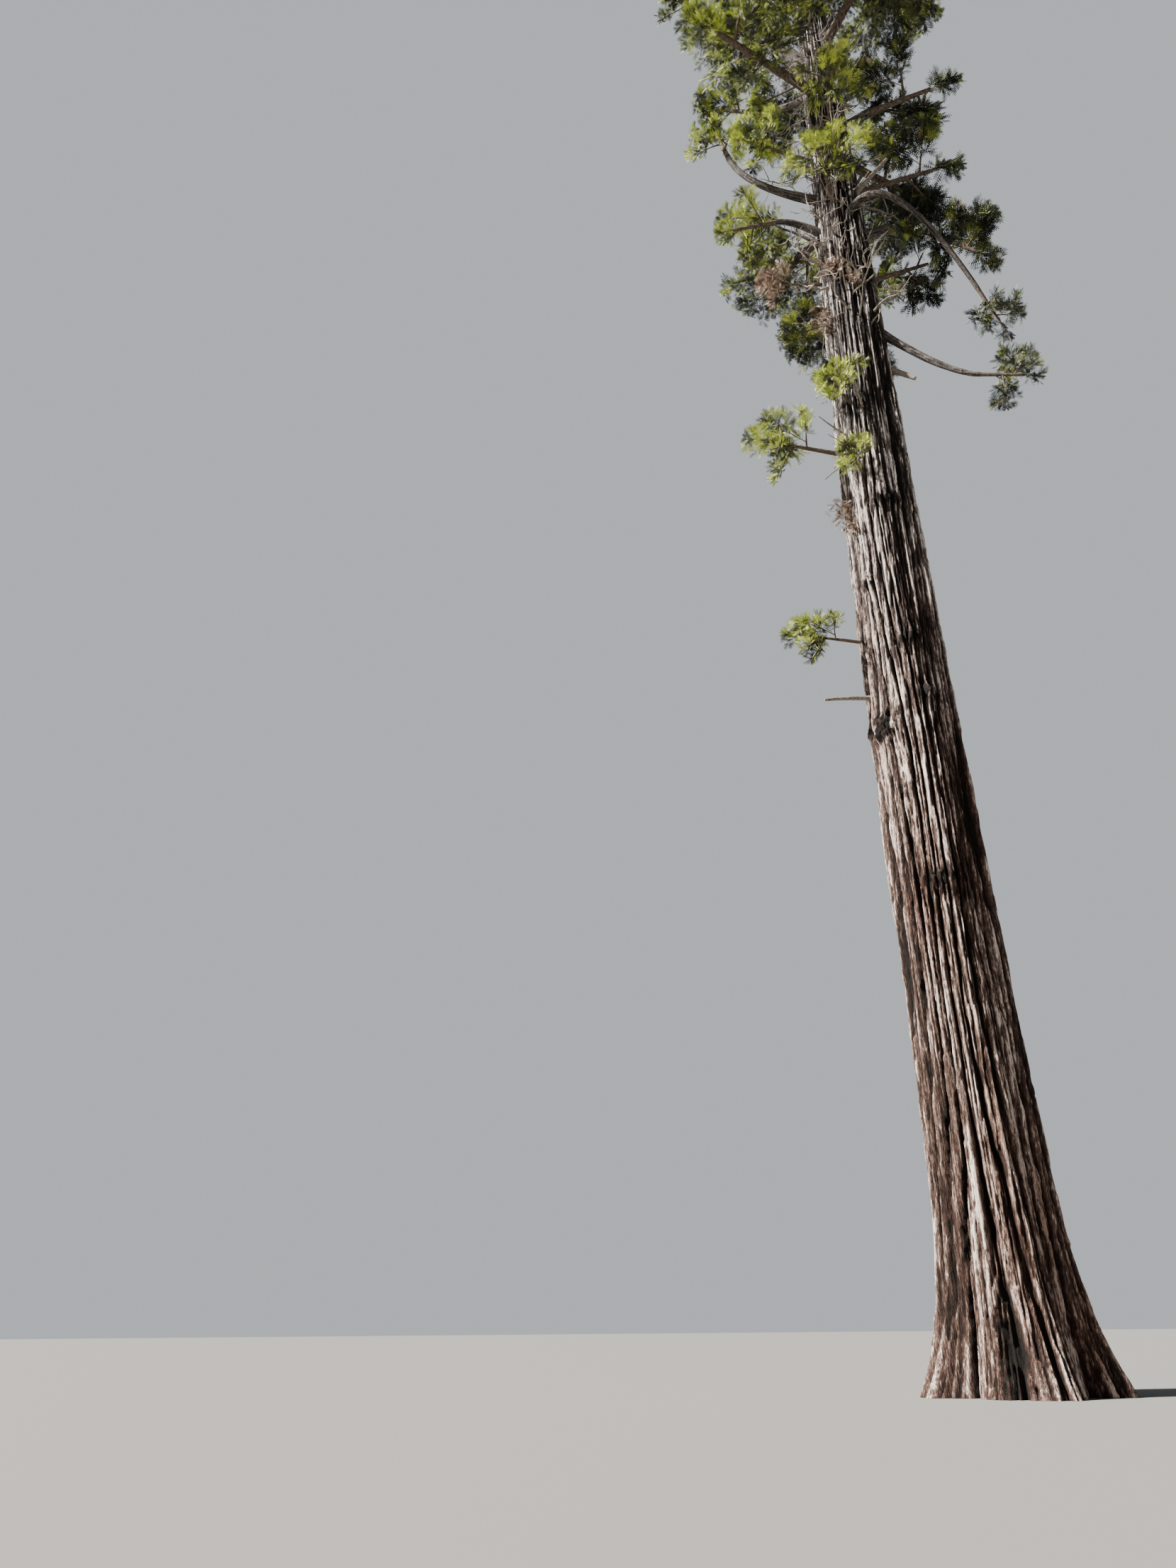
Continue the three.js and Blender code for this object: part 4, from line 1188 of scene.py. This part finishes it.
# Where the first needle stands on its sprig, over how much of it they spread, and how long the
# end ones are and how much longer the middle ones.
FIRST_NEEDLE, NEEDLE_SPAN = 0.08, 0.88
END_NEEDLES, MIDDLE_LONGER = 0.55, 0.5
NEEDLE_LOOK = {"Roughness": 0.55, "Specular IOR Level": 0.35}


# One blade: a flat spike from a broad base at the origin to a point at 1 along +X.
def blade(tree, width):
    circle = {"Vertices": 3, "Radius": 2.0 / 3.0}
    triangle = add_node(tree, "GeometryNodeMeshCircle", circle, fill_type="NGON")
    scale = add_node(tree, "ShaderNodeCombineXYZ", {"X": 1.0, "Y": width, "Z": 1.0})
    inputs = {"Geometry": triangle, "Translation": (1.0 / 3.0, 0.0, 0.0), "Scale": scale}
    return add_node(tree, "GeometryNodeTransform", inputs)


# The tree that builds a sprig and sets one on every point, turned and sized by its attributes.
def sprig_tree():
    tree = bpy.data.node_groups.new("needle_sprigs", "GeometryNodeTree")
    sockets = [
        ("Geometry", "Geometry", "INPUT", None),
        ("Needle share", "Float", "INPUT", NEEDLE_SHARE),
        ("Needle width", "Float", "INPUT", NEEDLE_WIDTH),
        ("Rachis width", "Float", "INPUT", RACHIS_WIDTH),
        ("Pairs", "Int", "INPUT", SPRIG_PAIRS),
        ("Material", "Material", "INPUT", None),
        ("Geometry", "Geometry", "OUTPUT", None),
    ]
    for label, kind, way, value in sockets:
        socket = tree.interface.new_socket(label, in_out=way, socket_type="NodeSocket" + kind)
        if value is not None:
            socket.default_value = value
    given = tree.nodes.new("NodeGroupInput").outputs

    needle_count = add_math(tree, "MULTIPLY_ADD", given["Pairs"], 2, 1)
    step = add_math(tree, "DIVIDE", NEEDLE_SPAN, needle_count)
    line = {
        "Count": needle_count,
        "Start Location": (FIRST_NEEDLE, 0.0, 0.0),
        "Offset": add_node(tree, "ShaderNodeCombineXYZ", {"X": step}),
    }

    index = add_node(tree, "GeometryNodeInputIndex", {})
    hand = add_math(tree, "MULTIPLY_ADD", add_math(tree, "MODULO", index, 2), 2, -1)
    last = add_math(tree, "GREATER_THAN", index, add_math(tree, "SUBTRACT", needle_count, 1.5))
    turn = add_math(tree, "MULTIPLY", hand, add_math(tree, "SUBTRACT", 1, last))
    angles = {
        "X": add_math(tree, "MULTIPLY", turn, NEEDLE_ROLL),
        "Y": NEEDLE_LIFT,
        "Z": add_math(tree, "MULTIPLY", turn, NEEDLE_ANGLE),
    }
    along = add_math(tree, "DIVIDE", index, needle_count)
    bulge = add_math(tree, "SINE", add_math(tree, "MULTIPLY", along, math.pi))
    swell = add_math(tree, "MULTIPLY_ADD", bulge, MIDDLE_LONGER, END_NEEDLES)
    slimness = add_math(tree, "DIVIDE", given["Needle width"], given["Needle share"])
    needles = {
        "Points": add_node(tree, "GeometryNodeMeshLine", line),
        "Instance": blade(tree, slimness),
        "Rotation": add_node(tree, "ShaderNodeCombineXYZ", angles),
        "Scale": add_math(tree, "MULTIPLY", swell, given["Needle share"]),
    }
    sprig_parts = {"Geometry": add_node(tree, "GeometryNodeInstanceOnPoints", needles)}
    sprig = add_node(tree, "GeometryNodeJoinGeometry", sprig_parts)
    fill(sprig.node, {"Geometry": blade(tree, given["Rachis width"])})

    def attribute(label, kind):
        return add_node(tree, "GeometryNodeInputNamedAttribute", {"Name": label}, data_type=kind)

    turn = {"Vector": attribute("ahead", "FLOAT_VECTOR")}
    roll = {
        "Vector": attribute("face", "FLOAT_VECTOR"),
        "Rotation": add_node(tree, "FunctionNodeAlignRotationToVector", turn, axis="X", pivot_axis="AUTO"),
    }
    sprigs = {
        "Points": given["Geometry"],
        "Instance": add_node(tree, "GeometryNodeRealizeInstances", {"Geometry": sprig}),
        "Rotation": add_node(tree, "FunctionNodeAlignRotationToVector", roll, axis="Z", pivot_axis="X"),
        "Scale": attribute("size", "FLOAT"),
    }
    spread = {"Geometry": add_node(tree, "GeometryNodeInstanceOnPoints", sprigs)}
    dressed = {
        "Geometry": add_node(tree, "GeometryNodeRealizeInstances", spread),
        "Material": given["Material"],
    }
    output = tree.nodes.new("NodeGroupOutput")
    fill(output, {"Geometry": add_node(tree, "GeometryNodeSetMaterial", dressed)})
    return tree


sprigs_on_points = sprig_tree()


# Builds the sprigs of one colour on points, and turns them into a plain mesh.
def sprig_piece(name, sprigs, colour):
    points = bpy.data.meshes.new(name + "_points")
    points.from_pydata([tuple(root * to_model) for root, _, _, _ in sprigs], [], [])
    for label, column in (("ahead", 1), ("face", 2)):
        values = np.array([sprig[column] for sprig in sprigs])
        points.attributes.new(label, "FLOAT_VECTOR", "POINT").data.foreach_set("vector", values.ravel())
    mark_vertices(points, "size", np.array([sprig[3] for sprig in sprigs]) * to_model)
    holder = add_object(name + "_points", points)
    material, _, shader = new_material(name)
    fill(shader, {"Base Color": (*colour, 1.0), **NEEDLE_LOOK})
    modifier = holder.modifiers.new("sprigs", "NODES")
    modifier.node_group = sprigs_on_points
    sockets = {item.name: item.identifier for item in sprigs_on_points.interface.items_tree}
    modifier[sockets["Material"]] = material
    evaluated = holder.evaluated_get(bpy.context.evaluated_depsgraph_get())
    mesh = bpy.data.meshes.new_from_object(evaluated)
    bpy.data.objects.remove(holder)
    bpy.data.meshes.remove(points)
    mesh.name = name
    mesh.materials.clear()
    return add_piece(name, mesh, material)


# Where the sunlight comes from.
SUN_TURN = 212.0
# The needles' colours, from painted deep shade to painted sunlight, and how each share of the sprigs is
# dealt one, from the least lit up.
NEEDLE_COLOURS = [
    ("needles_deep_shade", (0.007, 0.010, 0.006)),
    ("needles_in_painted_shade", (0.018, 0.024, 0.010)),
    ("needles_shaded", (0.048, 0.060, 0.018)),
    ("needles_painted_half_light", (0.095, 0.118, 0.026)),
    ("needles_painted_light", (0.240, 0.290, 0.050)),
    ("needles_painted_sunlight", (0.520, 0.600, 0.090)),
]
WITHERED_COLOUR = (0.12, 0.066, 0.042)
BLEACHED_COLOUR = (0.46, 0.36, 0.29)
BLEACHED_SHARE = 0.55
WITHERED_STRAY = 0.015


# How much painted shade a mass gets from the trees that stand over it, or painted light where it hangs in a
# gap.
PAINTED_SHADE_OF = {
    "second_side": -0.6,
    "second_top": -0.5,
    "left_high": -1.3,
    "left_behind": -0.8,
    "back_4": -1.3,
    "upper_3": -1.3,
    "upper_5": -1.1,
    "left_shaded": -1.3,
    "right_inner": -1.7,
    "right_outer": -1.2,
    "right_middle": -1.7,
    "right_upper": -1.5,
    "right_hanging": -0.8,
    "right_low": -0.8,
    "front_shelf": -0.05,
    "front_crest": 0.1,
    "left_outer": 0.15,
    "low_left": 0.2,
    "low_crossing": 0.3,
}
# Masses that are not among those that show get this painted shade.
HIDDEN_PAINTED_SHADE = -0.5
BRIGHTNESS_STRAY = 0.3
# Sprays stand in clumps, painted lighter on the clumps and with painted shade between them: waves across
# each way, and their weight.
CLUMP_WAVES = np.array([4.3, 4.9, 5.6])
CLUMP_LIGHT_AND_SHADE = 0.85
# How much painted light a sprig gains by its height and its depth in its mass, and by facing the sun.
HEIGHT_LIGHT, SKIN_LIGHT, SUN_LIGHT = 0.62, 0.2, 0.32


# A sprig is painted bright where it lies high and far out in its mass and where its mass faces the sun, and
# darker in the painted shade of its mass and between clumps.
def painted_light_of(space, root, chance):
    local = space["axes"] @ (root - space["centre"]) / space["half"]
    usual = 0.0 if space["name"] in SHOWN_SPACES else HIDDEN_PAINTED_SHADE
    facing = math.cos(math.radians(space["turn"] - SUN_TURN)) + PAINTED_SHADE_OF.get(space["name"], usual)
    clump = CLUMP_LIGHT_AND_SHADE * np.cbrt(np.prod(np.sin(CLUMP_WAVES * root)))
    spread = clump + chance.normal(0.0, BRIGHTNESS_STRAY)
    return HEIGHT_LIGHT * local[2] + SKIN_LIGHT * np.linalg.norm(local) + SUN_LIGHT * facing + spread


# Dead tufts that cling to the bark: height, direction and reach.
WITHERED_TUFTS = [
    (40.3, 250, 0.75),
    (39.3, 281, 0.5),
    (38.0, 215, 0.8),
    (28.6, 205, 0.7),
    (27.6, 219, 0.5),
    (41.8, 120, 0.7),
    (47.0, 60, 0.7),
]
TUFT_SPRIGS = 90
DEAL_SEED = 5
TUFT_SPREAD, TUFT_DROOP = 0.75, 0.35
TUFT_DEPTH, TUFT_WIDTH, TUFT_SPRIG_LENGTH = 0.45, 0.3, 0.45

deal_chance = np.random.default_rng(DEAL_SEED)
living, withered = [], []
for tuft_height, tuft_turn, tuft_reach in WITHERED_TUFTS:
    bark_distance = surface_at(tuft_height, tuft_turn)
    tuft_out = unit(place(tuft_height, tuft_turn, 1.0) - trunk_middle(tuft_height))
    for _ in range(TUFT_SPRIGS):
        way = unit(tuft_out + deal_chance.normal(0.0, TUFT_SPREAD, 3) - UP * TUFT_DROOP)
        away = bark_distance + deal_chance.uniform(0.0, TUFT_DEPTH) * tuft_reach
        aside = deal_chance.normal(0.0, TUFT_WIDTH, 3) * tuft_reach
        face = unit(deal_chance.normal(0.0, 1.0, 3))
        root = place(tuft_height, tuft_turn, away) + aside
        withered.append((root, way, face, TUFT_SPRIG_LENGTH * tuft_reach))
for mass in masses:
    for sprig in mass["sprigs"]:
        if mass["space"]["name"] == "left_withered" or deal_chance.random() < WITHERED_STRAY:
            withered.append(sprig)
        else:
            living.append((painted_light_of(mass["space"], sprig[0], deal_chance), sprig))
living.sort(key=lambda pair: pair[0])
deal_chance.shuffle(withered)

needles = {}
for i, (name, colour) in enumerate(NEEDLE_COLOURS):
    first = round(len(living) * i / len(NEEDLE_COLOURS))
    beyond = round(len(living) * (i + 1) / len(NEEDLE_COLOURS))
    needles[name] = sprig_piece(name, [sprig for _, sprig in living[first:beyond]], colour)
bleached_count = round(len(withered) * BLEACHED_SHARE)
bleached, rusty = withered[:bleached_count], withered[bleached_count:]
withered_needles = sprig_piece("needles_withered", rusty, WITHERED_COLOUR)
sprig_piece("needles_bleached", bleached, BLEACHED_COLOUR)
for mass in masses:
    name = mass["space"]["name"]
    piece = withered_needles if name == "left_withered" else needles["needles_painted_half_light"]
    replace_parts(piece, f"{name}_foliage")

# The studio
# A plain pale floor under a pale sky, with a soft sun from the upper left, in front of the tree.
# None of it belongs to the tree.
FLOOR_HALF = 300.0
FLOOR_DROP = 0.002
FLOOR_COLOUR = (0.205, 0.199, 0.19, 1.0)
FLOOR_ROUGHNESS = 0.9
SUN_HEIGHT = 43.0
SUN_STRENGTH = 17.5
SUN_SOFTNESS = 2.5
SUN_COLOUR = (1.0, 0.96, 0.88)
SKY_COLOUR = (0.84, 0.88, 0.93, 1.0)
BACKDROP_STRENGTH = 0.62
SKY_STRENGTH_LEFT, SKY_STRENGTH_RIGHT = 0.5, 0.04

floor_mesh = bpy.data.meshes.new("floor")
floor_sides = [(-1, -1), (1, -1), (1, 1), (-1, 1)]
floor_corners = [(x * FLOOR_HALF, y * FLOOR_HALF, -FLOOR_DROP) for x, y in floor_sides]
floor_mesh.from_pydata(floor_corners, [], [(0, 1, 2, 3)])
floor_paint, _, floor_shader = new_material("floor_paint")
fill(floor_shader, {"Base Color": FLOOR_COLOUR, "Roughness": FLOOR_ROUGHNESS})
floor_mesh.materials.append(floor_paint)
add_object("floor", floor_mesh)

sun_data = bpy.data.lights.new("sun", "SUN")
sun_data.energy = SUN_STRENGTH
sun_data.angle = math.radians(SUN_SOFTNESS)
sun_data.color = SUN_COLOUR
sun = add_object("sun", sun_data)
sun_turn, sun_rise = math.radians(SUN_TURN), math.radians(SUN_HEIGHT)
level = math.cos(sun_rise)
to_sun = Vector((math.cos(sun_turn) * level, math.sin(sun_turn) * level, math.sin(sun_rise)))
sun.rotation_euler = to_sun.to_track_quat("Z", "Y").to_euler()

# The sky's light comes from the left more than from the right, and its backdrop is even.
world = bpy.data.worlds.new("sky")
world.use_nodes = True
tree = world.node_tree
sky = next(node for node in tree.nodes if node.type == "BACKGROUND")
skywards = add_node(tree, "ShaderNodeTexCoord", {}, "Generated")
fall = {
    "Value": add_node(tree, "ShaderNodeSeparateXYZ", {"Vector": skywards}, "X"),
    "From Min": -1.0,
    "From Max": 1.0,
    "To Min": SKY_STRENGTH_LEFT,
    "To Max": SKY_STRENGTH_RIGHT,
}
fill(sky, {"Color": SKY_COLOUR, "Strength": add_node(tree, "ShaderNodeMapRange", fall)})
plain = {"Color": SKY_COLOUR, "Strength": BACKDROP_STRENGTH}
either = {
    "Fac": add_node(tree, "ShaderNodeLightPath", {}, "Is Camera Ray"),
    1: sky.outputs["Background"],
    2: add_node(tree, "ShaderNodeBackground", plain),
}
world_output = next(node for node in tree.nodes if node.type == "OUTPUT_WORLD")
fill(world_output, {"Surface": add_node(tree, "ShaderNodeMixShader", either)})
bpy.context.scene.world = world
